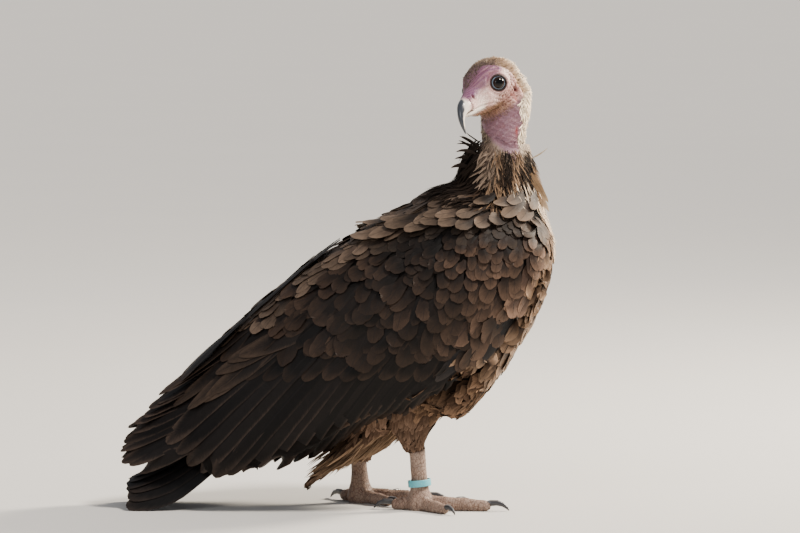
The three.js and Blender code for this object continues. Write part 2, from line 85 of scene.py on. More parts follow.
def bell(value: Array | float, width: float) -> Array:
    """A smooth bump, 1 where the value is 0 and small past `width`."""
    return np.exp(-((np.asarray(value, float) / width) ** 2))


def mixed(a: Array, b: Colour | Array, share: Array) -> Array:
    """Colours part of the way from `a` to `b`.

    Args:
        a: Colours, one row each.
        b: One colour, or a row for each of `a`.
        share: How far towards `b`, for each row.

    Returns:
        The mixed colours.
    """
    return a + (np.asarray(b, float) - a) * np.asarray(share)[:, None]


def smooth_rows(rows: Array, steps: int) -> Array:
    """Rows with smooth in-between rows.

    Args:
        rows: Values, a row for each station.
        steps: How many rows to make of each step from one station to the next.

    Returns:
        The finer rows, on a Catmull-Rom curve through the given ones.
    """
    rows = np.asarray(rows, float)
    last = len(rows) - 1
    place = np.linspace(0, last, last * steps + 1)
    low = np.minimum(place.astype(int), last - 1)
    t = (place - low)[:, None]
    a, b, c, d = (rows[np.clip(low + k, 0, last)] for k in (-1, 0, 1, 2))
    return b + 0.5 * t * (c - a + t * (2 * a - 5 * b + 4 * c - d + t * (3 * b - a - 3 * c + d)))


def slice_rings(rows: Array, steps: int, around: int) -> Array:
    """Rings of a body seen from its side.

    Args:
        rows: For each slice the forward and up of its top, the same of its bottom, its half width,
            how high its widest level is, and the squareness of its upper and lower halves.
        steps: Rings made of each step between slices.
        around: Points of a ring.

    Returns:
        Points of shape (rings, around, 3), in forward, side and up.
    """
    fine = smooth_rows(rows, steps)[:, None, :]
    angle = np.linspace(0, 2 * np.pi, around, endpoint=False)[None, :]
    cos, sin = np.cos(angle), np.sin(angle)
    power = np.where(sin > 0, fine[..., 6], fine[..., 7])
    across = np.sign(cos) * np.abs(cos) ** (2 / power) * fine[..., 4]
    lift = np.abs(sin) ** (2 / power)
    level = fine[..., 5]
    rings = []
    for top, low in ((fine[..., 0], fine[..., 2]), (fine[..., 1], fine[..., 3])):
        middle = low + (top - low) * level
        rings.append(middle + lift * np.where(sin > 0, top - middle, low - middle))
    return np.stack([rings[0], across, rings[1]], -1)


def path_rings(rows: Array, up: Array, steps: int, around: int) -> Array:
    """Rings of a loft along a path.

    Args:
        rows: For each station its centre x, y and z, half width and half depth.
        up: The direction of the depth.
        steps: Rings made of each step between stations.
        around: Points of a ring.

    Returns:
        Points of shape (rings, around, 3).
    """
    fine = smooth_rows(rows, steps)
    centres = fine[:, :3]
    along = unit(np.gradient(centres, axis=0))
    side = unit(np.cross(along, np.asarray(up, float)))
    over = np.cross(side, along)
    angle = np.linspace(0, 2 * np.pi, around, endpoint=False)[None, :, None]
    return (
        centres[:, None]
        + side[:, None] * np.cos(angle) * fine[:, None, 3:4]
        + over[:, None] * np.sin(angle) * fine[:, None, 4:5]
    )


def facing_out(points: Array, faces: list[Array]) -> list[Array]:
    """The faces of a closed surface, turned so that they face out.

    Args:
        points: The surface's points.
        faces: Its faces, in groups of like size.

    Returns:
        The same faces, all turned over if they faced in.
    """
    centred = points - points.mean(0)
    volume = 0.0
    for group in faces:
        for k in range(1, group.shape[1] - 1):
            a, b, c = (centred[group[:, n]] for n in (0, k, k + 1))
            volume += float(np.einsum("ij,ij->", a, np.cross(b, c)))
    return faces if volume > 0 else [group[:, ::-1] for group in faces]


def loop_faces(count: int, around: int) -> Array:
    """The faces through rings that follow each other and meet again.

    Args:
        count: How many rings.
        around: How many points each has.

    Returns:
        The faces, as rows of four point numbers.
    """
    ring, place = np.meshgrid(np.arange(count), np.arange(around), indexing="ij")
    here, beyond = ring * around, (ring + 1) % count * around
    after = (place + 1) % around
    return np.stack([here + place, here + after, beyond + after, beyond + place], -1).reshape(-1, 4)


def closed_rings(rings: Array) -> tuple[Array, list[Array]]:
    """A closed surface through rings that follow each other.

    Args:
        rings: Points of shape (rings, around, 3).

    Returns:
        The points, and the faces in groups of like size.
    """
    count, around, _ = rings.shape
    points = np.concatenate([rings.reshape(-1, 3), rings[[0, -1]].mean(1)])
    sides = loop_faces(count, around)[:-around]
    here = np.arange(around)
    after = (here + 1) % around
    first, last = np.full(around, count * around), np.full(around, count * around + 1)
    end = (count - 1) * around
    caps = np.concatenate(
        [np.stack([first, after, here], -1), np.stack([last, end + here, end + after], -1)]
    )
    return points, facing_out(points, [sides, caps])


def new_object(name: str, points: Array, faces: list[Array]) -> Piece:
    """Writes a mesh.

    Args:
        name: The piece's name.
        points: Its points, in millimetres.
        faces: Its faces, in groups of like size.

    Returns:
        The piece, smooth shaded, in the scene.
    """
    mesh = bpy.data.meshes.new(name)
    mesh.vertices.add(len(points))
    mesh.vertices.foreach_set("co", (points * MM).astype(np.float32).ravel())
    sizes = np.concatenate([np.full(len(f), f.shape[1], np.int32) for f in faces])
    corners = np.concatenate([f.ravel() for f in faces]).astype(np.int32)
    mesh.loops.add(len(corners))
    mesh.loops.foreach_set("vertex_index", corners)
    mesh.polygons.add(len(sizes))
    mesh.polygons.foreach_set("loop_start", np.concatenate([[0], np.cumsum(sizes)[:-1]]))
    mesh.update(calc_edges=True)
    mesh.polygons.foreach_set("use_smooth", np.ones(len(sizes), bool))
    piece = bpy.data.objects.new(name, mesh)
    bpy.context.scene.collection.objects.link(piece)
    return piece


def read(rows: bpy.types.bpy_prop_collection, key: str, width: int, kind: type) -> Array:
    """One value of every item of a mesh, as rows of `width` numbers of a kind.

    Args:
        rows: The items.
        key: What the value is called.
        width: How many numbers it has.
        kind: What kind they are.

    Returns:
        A row for each item.
    """
    flat = np.zeros(len(rows) * width, kind)
    rows.foreach_get(key, flat)
    return flat.reshape(-1, width)


def points_of(piece: Piece) -> Array:
    """The piece's points, in millimetres."""
    return read(piece.data.vertices, "co", 3, np.float32).astype(float) / MM


def normals_of(piece: Piece) -> Array:
    """The piece's vertex normals."""
    return read(piece.data.vertex_normals, "vector", 3, np.float32).astype(float)


def edges_of(piece: Piece) -> Array:
    """The piece's edges, as pairs of point numbers."""
    return read(piece.data.edges, "vertices", 2, np.int32)


def corners_of(piece: Piece) -> Array:
    """The point number of every corner of the piece's faces."""
    return read(piece.data.loops, "vertex_index", 1, np.int32).ravel()


def triangles_of(piece: Piece) -> Array:
    """The piece's triangles, as rows of three point numbers."""
    piece.data.calc_loop_triangles()
    return read(piece.data.loop_triangles, "vertices", 3, np.int32)


def move_points(piece: Piece, points: Array) -> None:
    """Puts the piece's points at these places, in millimetres."""
    piece.data.vertices.foreach_set("co", (points * MM).astype(np.float32).ravel())
    piece.data.update()


def store(piece: Piece, name: str, values: Array) -> None:
    """Keeps one value, vector or colour for each point under a name that materials read.

    Args:
        piece: The piece.
        name: The name.
        values: A row, or one number, for each point.
    """
    columns = 1 if values.ndim == 1 else values.shape[1]
    kinds = {1: ("FLOAT", "value"), 3: ("FLOAT_VECTOR", "vector"), 4: ("FLOAT_COLOR", "color")}
    kind, key = kinds[columns]
    layer = piece.data.attributes.new(name, kind, "POINT")
    layer.data.foreach_set(key, values.astype(np.float32).ravel())


def opaque(colours: Array) -> Array:
    """Colours with a full alpha."""
    return np.concatenate([colours, np.ones((len(colours), 1))], 1)


def relaxed(points: Array, edges: Array, rounds: int, keep_volume: bool = True) -> Array:
    """Points smoothed towards their neighbours.

    Args:
        points: The points.
        edges: Pairs of neighbours.
        rounds: How many times.
        keep_volume: Follow each round with one that pushes back, so that the form keeps its size.

    Returns:
        The smoothed points.
    """
    both = np.concatenate([edges, edges[:, ::-1]])
    degree = np.maximum(np.bincount(both[:, 0], minlength=len(points)), 1)[:, None]
    shares = (0.6, -0.62) if keep_volume else (0.6,)
    for _ in range(rounds):
        for share in shares:
            total = [
                np.bincount(both[:, 0], points[both[:, 1], k], len(points)) for k in range(3)
            ]
            points = points + share * (np.stack(total, 1) / degree - points)
    return points


def joined_copy(name: str, pieces: list[Piece]) -> Piece:
    """One new object that holds copies of the pieces' meshes.

    Args:
        name: Its name.
        pieces: What it is made of; they stay as they are.

    Returns:
        The new object.
    """
    points, faces, start = [], [], 0
    for piece in pieces:
        points.append(points_of(piece))
        faces.append(triangles_of(piece) + start)
        start += len(points[-1])
    return new_object(name, np.concatenate(points), [np.concatenate(faces)])


def applied(piece: Piece) -> None:
    """Turns the piece's modifiers into its mesh.

    Args:
        piece: The piece.
    """
    bpy.context.view_layer.update()
    finished = piece.evaluated_get(bpy.context.evaluated_depsgraph_get())
    old = piece.data
    piece.data = bpy.data.meshes.new_from_object(finished)
    piece.modifiers.clear()
    piece.data.name = piece.name
    bpy.data.meshes.remove(old)


def largest_shell(piece: Piece) -> None:
    """Drops every closed shell of the piece but the one with the most points.

    Args:
        piece: The piece, whose faces are all quads; it is made anew under its own name.
    """
    edges, count = edges_of(piece), len(piece.data.vertices)
    label = np.arange(count)
    while True:
        low = np.minimum(label[edges[:, 0]], label[edges[:, 1]])
        fresh = label.copy()
        np.minimum.at(fresh, edges[:, 0], low)
        np.minimum.at(fresh, edges[:, 1], low)
        fresh = fresh[fresh]
        if (fresh == label).all():
            break
        label = fresh
    keep = label == np.bincount(label).argmax()
    if keep.all():
        return
    quads = corners_of(piece).reshape(-1, 4)
    number = np.cumsum(keep) - 1
    points, name = points_of(piece)[keep], piece.name
    kept = number[quads[keep[quads[:, 0]]]]
    bpy.data.objects.remove(piece)
    rebuilt = new_object(name, points, [kept])
    rebuilt.name = name


def remeshed(name: str, pieces: list[Piece], voxel: float) -> Piece:
    """One even closed mesh round the given closed meshes.

    Args:
        name: Its name.
        pieces: What it goes round; they stay as they are.
        voxel: The size of its faces.

    Returns:
        The new object.
    """
    piece = joined_copy(name, pieces)
    remesh = piece.modifiers.new("even", "REMESH")
    remesh.mode = "VOXEL"
    remesh.voxel_size = voxel * MM
    remesh.adaptivity = 0
    applied(piece)
    largest_shell(piece)
    return bpy.data.objects[name]


def remove(*pieces: Piece) -> None:
    """Takes helper objects out of the scene."""
    for piece in pieces:
        bpy.data.objects.remove(piece)


def node_pieces(*names: str) -> list[Piece]:
    """The frame's objects of these names."""
    return [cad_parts[name] for name in names]


def box_of(name: str) -> tuple[Array, Array]:
    """The lowest and highest corner of a node of the frame, in millimetres."""
    low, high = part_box(name)
    return np.array(low) / MM, np.array(high) / MM


class Surface:
    """A closed surface that feathers and folds are laid on."""

    def __init__(self, piece: Piece) -> None:
        """Reads the piece's mesh.

        Args:
            piece: The object whose surface this is.
        """
        self.points, self.triangles = points_of(piece), triangles_of(piece)
        self.tree = BVHTree.FromPolygons(self.points.tolist(), self.triangles.tolist())

    def nearest(self, place: Vector) -> tuple[Vector, Vector]:
        """The surface point nearest to a place, and the normal there."""
        point, normal, _, _ = self.tree.find_nearest(place)
        return point, normal

    def from_side(self, x: float, z: float, side: int) -> Vector:
        """Where a line straight in from the side, at this x and z, meets the surface.

        Args:
            x: How far forward.
            z: How high.
            side: 1 from the left, -1 from the right.

        Returns:
            The place, or the nearest one to it where the line misses.
        """
        far = Vector((x, side * 400.0, z))
        point, _, _, _ = self.tree.ray_cast(far, Vector((0, -side, 0)))
        return point if point is not None else self.nearest(Vector((x, side * 20.0, z)))[0]

    def scattered(self, count: int, random: Chance) -> tuple[Array, Array]:
        """Random points spread evenly over the surface.

        Args:
            count: How many.
            random: The source of chance.

        Returns:
            The points and the normals there.
        """
        a, b, c = (self.points[self.triangles[:, k]] for k in range(3))
        cross = np.cross(b - a, c - a)
        area = np.linalg.norm(cross, axis=1)
        pick = random.choice(len(area), count, p=area / area.sum())
        u, v = random.random((2, count, 1))
        flip = u + v > 1
        u, v = np.where(flip, 1 - u, u), np.where(flip, 1 - v, v)
        return a[pick] + u * (b - a)[pick] + v * (c - a)[pick], unit(cross[pick])


def spaced_out(points: Array, spacing: Array) -> Array:
    """Which of the points to keep so that none is nearer to another than its spacing.

    Args:
        points: Candidates, in order of preference.
        spacing: The room that each wants.

    Returns:
        The numbers of the kept points.
    """
    cell = float(spacing.max())
    grid: dict[tuple[int, int, int], list[int]] = {}
    keep = []
    cells = np.floor(points / cell).astype(int)
    around = [(i, j, k) for i in (-1, 0, 1) for j in (-1, 0, 1) for k in (-1, 0, 1)]
    for number, (i, j, k) in enumerate(cells.tolist()):
        near = [n for di, dj, dk in around for n in grid.get((i + di, j + dj, k + dk), ())]
        if near:
            gap = np.linalg.norm(points[near] - points[number], axis=1).min()
            if gap < spacing[number]:
                continue
        grid.setdefault((i, j, k), []).append(number)
        keep.append(number)
    return np.array(keep, int)


@dataclass
class BodyUnwrap:
    """The skin rolled out flat round a line from tail to crown.

    Attributes:
        line: The points of the line.
    """

    line: tuple[Colour, ...] = ((-230, 0, 30), (60, 0, 200), (165, 0, 320), (178, 4, 480))

    def flat(self, points: Array) -> Array:
        """Where points of the body lie when its skin is unrolled.

        Args:
            points: Points near the skin.

        Returns:
            For each, how far along the line it is and its angle round it, both from 0 to 1.
        """
        line = np.array(self.line, float)
        starts, steps = line[:-1], np.diff(line, axis=0)
        lengths = np.linalg.norm(steps, axis=1)
        before = np.concatenate([[0], np.cumsum(lengths)[:-1]])
        offset = points[:, None] - starts[None]
        share = np.einsum("nsk,sk->ns", offset, steps) / lengths**2
        share = np.clip(share, 0, 1)
        away = offset - share[..., None] * steps
        best = np.linalg.norm(away, axis=2).argmin(1)
        every = np.arange(len(points))
        along = (before[best] + share[every, best] * lengths[best]) / lengths.sum()
        across = away[every, best]
        over = unit(np.cross(steps[best], np.array([0.0, 1.0, 0.0])) * -1)
        angle = np.arctan2(across[:, 1], -(across * over).sum(1))
        return np.stack([along, angle / (2 * np.pi) + 0.5], 1)


# ---------------------------------------------------------------- feathers
@dataclass(frozen=True)
class VaneShape:
    """The outline and build of one kind of feather.

    Attributes:
        stations: Places along the feather, from 0 at its root to 1 at its tip.
        widths: Its half width there, against its widest.
        columns: Places across, from -1 to 1.
        shaft: How far the shaft stands up.
        thickness: How thick the vane is.
        ragged: How uneven its edges are.
    """

    stations: tuple[float, ...]
    widths: tuple[float, ...]
    columns: tuple[float, ...]
    shaft: float = 0.25
    thickness: float = 0.3
    ragged: float = 0.06


class Vane(Enum):
    """The kinds of feather on this bird."""

    CONTOUR = VaneShape(
        (0, 0.18, 0.38, 0.56, 0.7, 0.82, 0.91, 0.97, 1.0),
        (0.3, 0.62, 0.88, 1.0, 0.97, 0.84, 0.62, 0.36, 0.12),
        (-1, -0.74, -0.4, -0.06, 0.06, 0.4, 0.74, 1),
        ragged=0.085,
    )
    LONG_COVERT = VaneShape(
        (0, 0.14, 0.3, 0.46, 0.62, 0.76, 0.87, 0.95, 0.99, 1.0),
        (0.35, 0.66, 0.86, 0.97, 1.0, 0.95, 0.8, 0.52, 0.26, 0.1),
        (-1, -0.7, -0.38, -0.05, 0.05, 0.38, 0.7, 1),
        shaft=0.35,
        thickness=0.4,
        ragged=0.035,
    )
    FLIGHT = VaneShape(
        tuple(np.concatenate([np.linspace(0, 0.84, 15), [0.89, 0.93, 0.96, 0.985, 1.0]])),
        (*np.linspace(0.72, 1.0, 9), 1, 1, 1, 0.99, 0.98, 0.96, 0.91, 0.82, 0.67, 0.45, 0.15),
        (-1, -0.74, -0.46, -0.2, -0.035, 0.035, 0.2, 0.46, 0.74, 1),
        shaft=0.55,
        thickness=0.5,
        ragged=0.02,
    )
    HACKLE = VaneShape(
        (0, 0.22, 0.48, 0.72, 0.9, 1.0),
        (0.5, 0.9, 1.0, 0.7, 0.36, 0.04),
        (-1, 0, 1),
        shaft=0.2,
        thickness=0.16,
        ragged=0.16,
    )
    FLUFF = VaneShape(
        (0, 0.2, 0.42, 0.62, 0.8, 0.92, 1.0),
        (0.35, 0.8, 1.0, 0.85, 0.62, 0.36, 0.1),
        (-1, -0.5, 0, 0.5, 1),
        shaft=0.1,
        thickness=0.25,
        ragged=0.3,
    )
    TUFT = VaneShape(
        (0, 0.4, 0.75, 1.0),
        (0.7, 1.0, 0.6, 0.12),
        (-1, 0, 1),
        shaft=0.22,
        thickness=0.12,
        ragged=0.2,
    )


@dataclass(frozen=True)
class Look:
    """The colours of a kind of feather, and how much they vary from one to the next."""

    tint: Colour | Array
    rim: Colour | Array
    spread: float = 0.22


@dataclass
class Plumage:
    """Feathers of one kind that are joined into one piece.

    Attributes:
        vane: The kind of feather.
        surface: What they lie on.
        random: The source of chance.
    """

    vane: Vane
    surface: Surface
    random: Chance
    centres: list[Array] = field(default_factory=list)
    normals: list[Array] = field(default_factory=list)
    sizes: list[tuple[float, ...]] = field(default_factory=list)
    tints: list[Array] = field(default_factory=list)
    rims: list[Array] = field(default_factory=list)

    def lay(
        self,
        root: Array,
        heading: Array,
        size: Pair,
        heights: Pair,
        look: Look,
        bend: float = 0.0,
        follow: float = 1.0,
        roll: float = 0.0,
    ) -> None:
        """Lays one feather along the surface.

        Args:
            root: Where it springs from.
            heading: Which way it points.
            size: Its length and half width.
            heights: How high its root and its tip lie above the surface.
            look: Its colours.
            bend: How far it curves in the surface, in radians.
            follow: 1 where it hugs the surface, 0 where it runs straight out.
            roll: How much its one side stands higher than the other, per millimetre.
        """
        stations = self.vane.value.stations
        point, normal = self.surface.nearest(Vector(root))
        way = Vector(heading)
        way = (way - normal * way.dot(normal)).normalized()
        start, straight = point.copy(), way.copy()
        centres, normals = [point], [normal]
        for before, here in zip(stations, stations[1:]):
            step = (here - before) * size[0]
            way = (way - normal * way.dot(normal)).normalized()
            if bend:
                way = Matrix.Rotation(bend * (here - before), 3, normal) @ way
            point, fresh = self.surface.nearest(point + way * step)
            normal = (normal + fresh).normalized()
            free = start + straight * here * size[0]
            centres.append(free.lerp(point, follow))
            normals.append(normal)
        self.keep(np.array(centres), np.array(normals), size, heights, look, roll)

    def lay_on_side(
        self,
        ends: tuple[Array, Array],
        bow: float,
        side: int,
        width: float,
        heights: Pair,
        look: Look,
        roll: float = 0.0,
    ) -> None:
        """Lays one long feather whose root and tip are given as seen from the side.

        Args:
            ends: The x and z of its root and of its tip.
            bow: How far its middle lies off the straight line.
            side: 1 on the bird's left, -1 on its right.
            width: Its half width.
            heights: How high its root and its tip lie above the surface.
            look: Its colours.
            roll: How much its one side stands higher than the other, per millimetre.
        """
        root, tip = (np.asarray(end, float) for end in ends)
        run = tip - root
        length = float(np.linalg.norm(run))
        across = np.array([-run[1], run[0]]) / length
        centres, normals = [], []
        for t in self.vane.value.stations:
            x, z = root + run * t + across * bow * 4 * t * (1 - t)
            near, normal = self.surface.nearest(self.surface.from_side(x, z, side))
            centres.append(Vector((x, near.y, z)))
            normals.append(normal)
        centres, normals = np.array(centres), np.array(normals)
        padded = np.pad(centres[:, 1], 2, mode="edge")
        centres[:, 1] = np.convolve(padded, np.ones(5) / 5, mode="valid")
        for _ in range(2):
            padded = np.pad(normals, ((1, 1), (0, 0)), mode="edge")
            normals = unit(padded[:-2] + padded[1:-1] + padded[2:])
        self.keep(centres, normals, (length, width), heights, look, roll)

    def keep(
        self, centres: Array, normals: Array, size: Pair, heights: Pair, look: Look, roll: float
    ) -> None:
        """Takes one feather into the piece.

        Args:
            centres: Its line, a point for each station of its kind.
            normals: Which way is up at each.
            size: Its length and half width.
            heights: How high its root and its tip lie.
            look: Its colours.
            roll: How much its one side stands higher than the other, per millimetre.
        """
        self.centres.append(centres)
        self.normals.append(normals)
        self.sizes.append((*size, *heights, roll))
        shade = max(1 + look.spread * float(self.random.normal()), 0.4)
        self.tints.append(np.array(look.tint) * shade)
        self.rims.append(np.array(look.rim) * (0.6 * shade + 0.4))

    def piece(self, name: str, unwrap: BodyUnwrap) -> Piece:
        """Makes the feathers into one piece.

        Args:
            name: Its name.
            unwrap: Gives each feather its place on the colour map.

        Returns:
            The piece, with its colours and maps.
        """
        shape = self.vane.value
        stations, columns = np.array(shape.stations), np.array(shape.columns)
        count, rows, cols = len(self.centres), len(stations), len(columns)
        centres, normals = np.stack(self.centres), np.stack(self.normals)
        length, width, root, tip, roll = np.array(self.sizes).T[:, :, None, None]
        along = unit(np.gradient(centres, stations, axis=1))[:, :, None]
        side = unit(np.cross(along, normals[:, :, None]))
        over = np.cross(side, along)
        outer = np.abs(columns) > 0.45
        jag = self.random.normal(0, shape.ragged, (count, rows, cols)) * outer
        half = width * np.array(shape.widths)[None, :, None]
        across = half * columns * (1 + jag)
        rise = 1 - (1 - stations[None, :, None]) ** 1.5
        height = root + (tip - root) * rise + roll * across - 0.06 * across**2 / width
        middle = np.abs(columns) < 0.2
        height = height + shape.shaft * middle * (1 - 0.75 * stations[None, :, None])
        slide = np.roll(jag, 1, axis=1) * half * 1.6 + np.abs(columns) * half * 0.12
        top = centres[:, :, None] + side * across[..., None] + over * height[..., None]
        top = top + along * slide[..., None]
        low = (top - over * shape.thickness)[:, 1:-1, 1:-1]
        own = rows * cols + (rows - 2) * (cols - 2)
        points = np.concatenate([top.reshape(count, -1, 3), low.reshape(count, -1, 3)], 1)
        upper = np.arange(rows * cols).reshape(rows, cols)
        lower = upper.copy()
        lower[1:-1, 1:-1] = rows * cols + np.arange((rows - 2) * (cols - 2)).reshape(rows - 2, -1)
        quads = [self.quads_of(upper), self.quads_of(lower)[:, ::-1]]
        faces = np.concatenate(quads)[None] + (np.arange(count) * own)[:, None, None]
        piece = new_object(name, points.reshape(-1, 3), [faces.reshape(-1, 4)])
        outline = np.ones((rows, cols), bool)
        outline[1:-1, 1:-1] = False
        outline = np.concatenate([outline.ravel(), np.zeros(own - rows * cols, bool)])
        ends = edges_of(piece) % own
        sharp = piece.data.attributes.new("sharp_edge", "BOOLEAN", "EDGE")
        sharp.data.foreach_set("value", outline[ends[:, 0]] & outline[ends[:, 1]])

        u = np.broadcast_to(columns[None, None], (count, rows, cols))
        v = np.broadcast_to(stations[None, :, None], (count, rows, cols))
        tone = np.broadcast_to(self.random.random((count, 1, 1)), (count, rows, cols))
        grid = np.stack([u, v, tone], -1)
        inner = grid[:, 1:-1, 1:-1]
        vane = np.concatenate([grid.reshape(count, -1, 3), inner.reshape(count, -1, 3)], 1)
        store(piece, "vane", vane.reshape(-1, 3))
        real = np.stack([vane[..., 0] * width[:, :, 0], vane[..., 1] * length[:, :, 0]], -1)
        self.write_map(piece, "Barbs", real.reshape(-1, 2))
        for key, colours in (("tint", self.tints), ("rim", self.rims)):
            store(piece, key, opaque(np.repeat(np.array(colours), own, axis=0)))
        places = unwrap.flat(centres[:, 0])
        low_corner, span = places.min(0), np.maximum(np.ptp(places, axis=0), 1e-6)
        places = 0.01 + 0.98 * (places - low_corner) / span
        patch = (vane[..., :2] * (0.5, 1) - (0, 0.5)) * 0.003
        self.write_map(piece, "OFBake", (places[:, None] + patch).reshape(-1, 2))
        return piece

    def halves(self) -> list[tuple[str, "Plumage"]]:
        """The feathers of the left side and those of the right, each as a plumage of its own.

        Returns:
            The name of each side with its plumage.
        """
        made = []
        for name, sign in (("left", 1), ("right", -1)):
            kept = [k for k, line in enumerate(self.centres) if line[0][1] * sign > 0]
            lists = (self.centres, self.normals, self.sizes, self.tints, self.rims)
            own = ([values[k] for k in kept] for values in lists)
            made.append((name, Plumage(self.vane, self.surface, self.random, *own)))
        return made

    def quads_of(self, grid: Array) -> Array:
        """The faces between the rows and columns of a grid of point numbers."""
        a, b, c, d = grid[:-1, :-1], grid[:-1, 1:], grid[1:, 1:], grid[1:, :-1]
        return np.stack([a, b, c, d], -1).reshape(-1, 4)

    def write_map(self, piece: Piece, name: str, places: Array) -> None:
        """Writes a UV map from one place for each point."""
        layer = piece.data.uv_layers.new(name=name, do_init=False)
        layer.uv.foreach_set("vector", places[corners_of(piece)].astype(np.float32).ravel())


class Tract(Enum):
    """The parts of the coat whose feathers are scattered, and the places that have none."""

    COVERTS = "coverts"
    MANTLE = "mantle"
    BREAST = "breast"
    BELLY = "belly"
    THIGH = "thigh"
    VENT = "vent"
    OPEN = "open"


# How the coat lies at some places, alike on both sides of the body: the x, the distance from the
# middle plane and the z, the way that feathers point as seen from the right side, where 0 is
# forward and 90 is up, and their length and half width.
MARKS = {
    Tract.COVERTS: (
        (200, 78, 280, 262, 24, 6.5), (172, 84, 285, 262, 22, 6), (130, 86, 284, 256, 20, 5.6),
        (90, 76, 278, 240, 22, 6), (50, 68, 268, 226, 30, 7.6), (15, 56, 257, 219, 36, 9),
        (194, 80, 235, 256, 34, 9), (150, 92, 236, 260, 30, 8.4), (108, 90, 241, 252, 30, 8.6),
        (68, 85, 238, 240, 35, 9.6), (25, 75, 232, 228, 40, 10.6), (-20, 60, 222, 221, 44, 11),
        (172, 82, 200, 244, 42, 10.6), (130, 92, 205, 252, 42, 11.2), (88, 91, 208, 246, 43, 11.6),
        (42, 86, 205, 234, 46, 11.8),
    ),
    Tract.MANTLE: (
        (150, 50, 327, 203, 32, 6.5), (110, 53, 319, 202, 34, 7), (68, 44, 304, 206, 34, 7.5),
        (35, 32, 292, 212, 36, 8), (0, 28, 270, 217, 40, 8.5), (60, 0, 312, 206, 36, 8),
        (120, 0, 336, 202, 32, 7), (0, 0, 282, 216, 40, 9), (-60, 6, 232, 220, 46, 9),
        (185, 60, 312, 225, 20, 6),
    ),
    Tract.BREAST: (
        (220, 50, 262, 268, 22, 7.5), (218, 0, 270, 268, 24, 8), (214, 40, 222, 255, 26, 8),
        (212, 0, 225, 256, 26, 8.5), (194, 44, 200, 240, 30, 8), (172, 66, 172, 232, 28, 6.5),
        (190, 0, 175, 240, 28, 8),
    ),
    Tract.BELLY: (
        (142, 60, 134, 226, 26, 6), (150, 0, 130, 224, 28, 7), (112, 64, 113, 226, 26, 5.5),
        (100, 0, 98, 205, 30, 6.5), (60, 0, 90, 190, 32, 6.5),
    ),
    Tract.THIGH: (
        (92, 50, 105, 262, 26, 2.6), (90, 45, 84, 264, 22, 2.2), (86, 36, 68, 266, 14, 1.7),
        (60, 45, 108, 255, 26, 2.8), (36, 38, 78, 256, 22, 2.4), (28, 34, 54, 262, 14, 1.7),
    ),
    Tract.VENT: (
        (10, 10, 68, 222, 52, 1.9), (35, 12, 84, 222, 46, 2.2), (-20, 12, 42, 220, 40, 1.5),
    ),
    Tract.OPEN: (
        (175, 35, 365, 262, 20, 3.6), (200, 18, 350, 270, 20, 4), (150, 20, 370, 232, 30, 3.8),
        (128, 10, 350, 214, 32, 4.5), (185, 45, 332, 250, 20, 5), (150, 42, 345, 226, 28, 5),
        (-10, 80, 160, 214, 30, 9), (60, 88, 165, 222, 30, 9), (110, 88, 165, 232, 28, 8),
        (-60, 55, 180, 218, 30, 9), (-100, 30, 180, 218, 30, 9), (-100, 60, 60, 214, 30, 9),
        (0, 78, 90, 212, 30, 9), (-180, 20, 80, 216, 30, 9), (60, 80, 120, 214, 30, 9),
        (-150, 30, 60, 214, 30, 9), (10, 62, 70, 214, 30, 9), (178, 5, 410, 270, 10, 2),
        (170, 0, 450, 270, 10, 2), (90, 35, 30, 270, 10, 2), (28, 33, 25, 270, 10, 2),
    ),
}


class Lie:
    """The lie of the coat all over the body, between the marks."""

    def __init__(self) -> None:
        """Reads the marks into arrays."""
        rows = np.array([mark for marks in MARKS.values() for mark in marks], float)
        angle = np.radians(rows[:, 3])
        self.places = rows[:, :3]
        self.values = np.column_stack([np.cos(angle), np.sin(angle), rows[:, 4:]])
        self.tracts = [tract for tract, marks in MARKS.items() for _ in marks]

    def at(self, points: Array) -> tuple[Array, Array, Array, list[Tract]]:
        """The lie of the coat at some points.

        Args:
            points: Places on the body.

        Returns:
            Which way its feathers point, their length and half width there, and the tract.
        """
        folded = points * (1, 0, 1) + np.abs(points) * (0, 1, 0)
        away = np.linalg.norm(folded[:, None] - self.places[None], axis=2)
        weight = 1 / (away + 6) ** 4
        weight /= weight.sum(1, keepdims=True)
        values = weight @ self.values
        heading = np.stack([values[:, 0], np.zeros(len(points)), values[:, 1]], 1)
        return unit(heading), values[:, 2], values[:, 3], [self.tracts[k] for k in away.argmin(1)]


COVERT_LOOK = Look((0.0055, 0.0032, 0.0023), (0.025, 0.0148, 0.0098), 0.4)
MANTLE_LOOK = Look((0.03, 0.02, 0.0148), (0.085, 0.058, 0.041), 0.32)
BREAST_LOOK = Look((0.034, 0.02, 0.0132), (0.2, 0.126, 0.078), 0.32)
BELLY_LOOK = Look((0.048, 0.0276, 0.0174), (0.18, 0.108, 0.066), 0.32)
THIGH_LOOK = Look((0.085, 0.051, 0.034), (0.16, 0.1, 0.068), 0.2)
VENT_LOOK = Look((0.085, 0.052, 0.035), (0.17, 0.11, 0.075), 0.22)


@dataclass(frozen=True)
class TractKind:
    """What the feathers of a part of the coat are like.

    Attributes:
        vane: Their kind.
        heights: How high their roots and tips lie.
        crowding: How far apart they stand, against their size.
        look: Their colours.
    """

    vane: Vane
    heights: Pair
    crowding: float
    look: Look


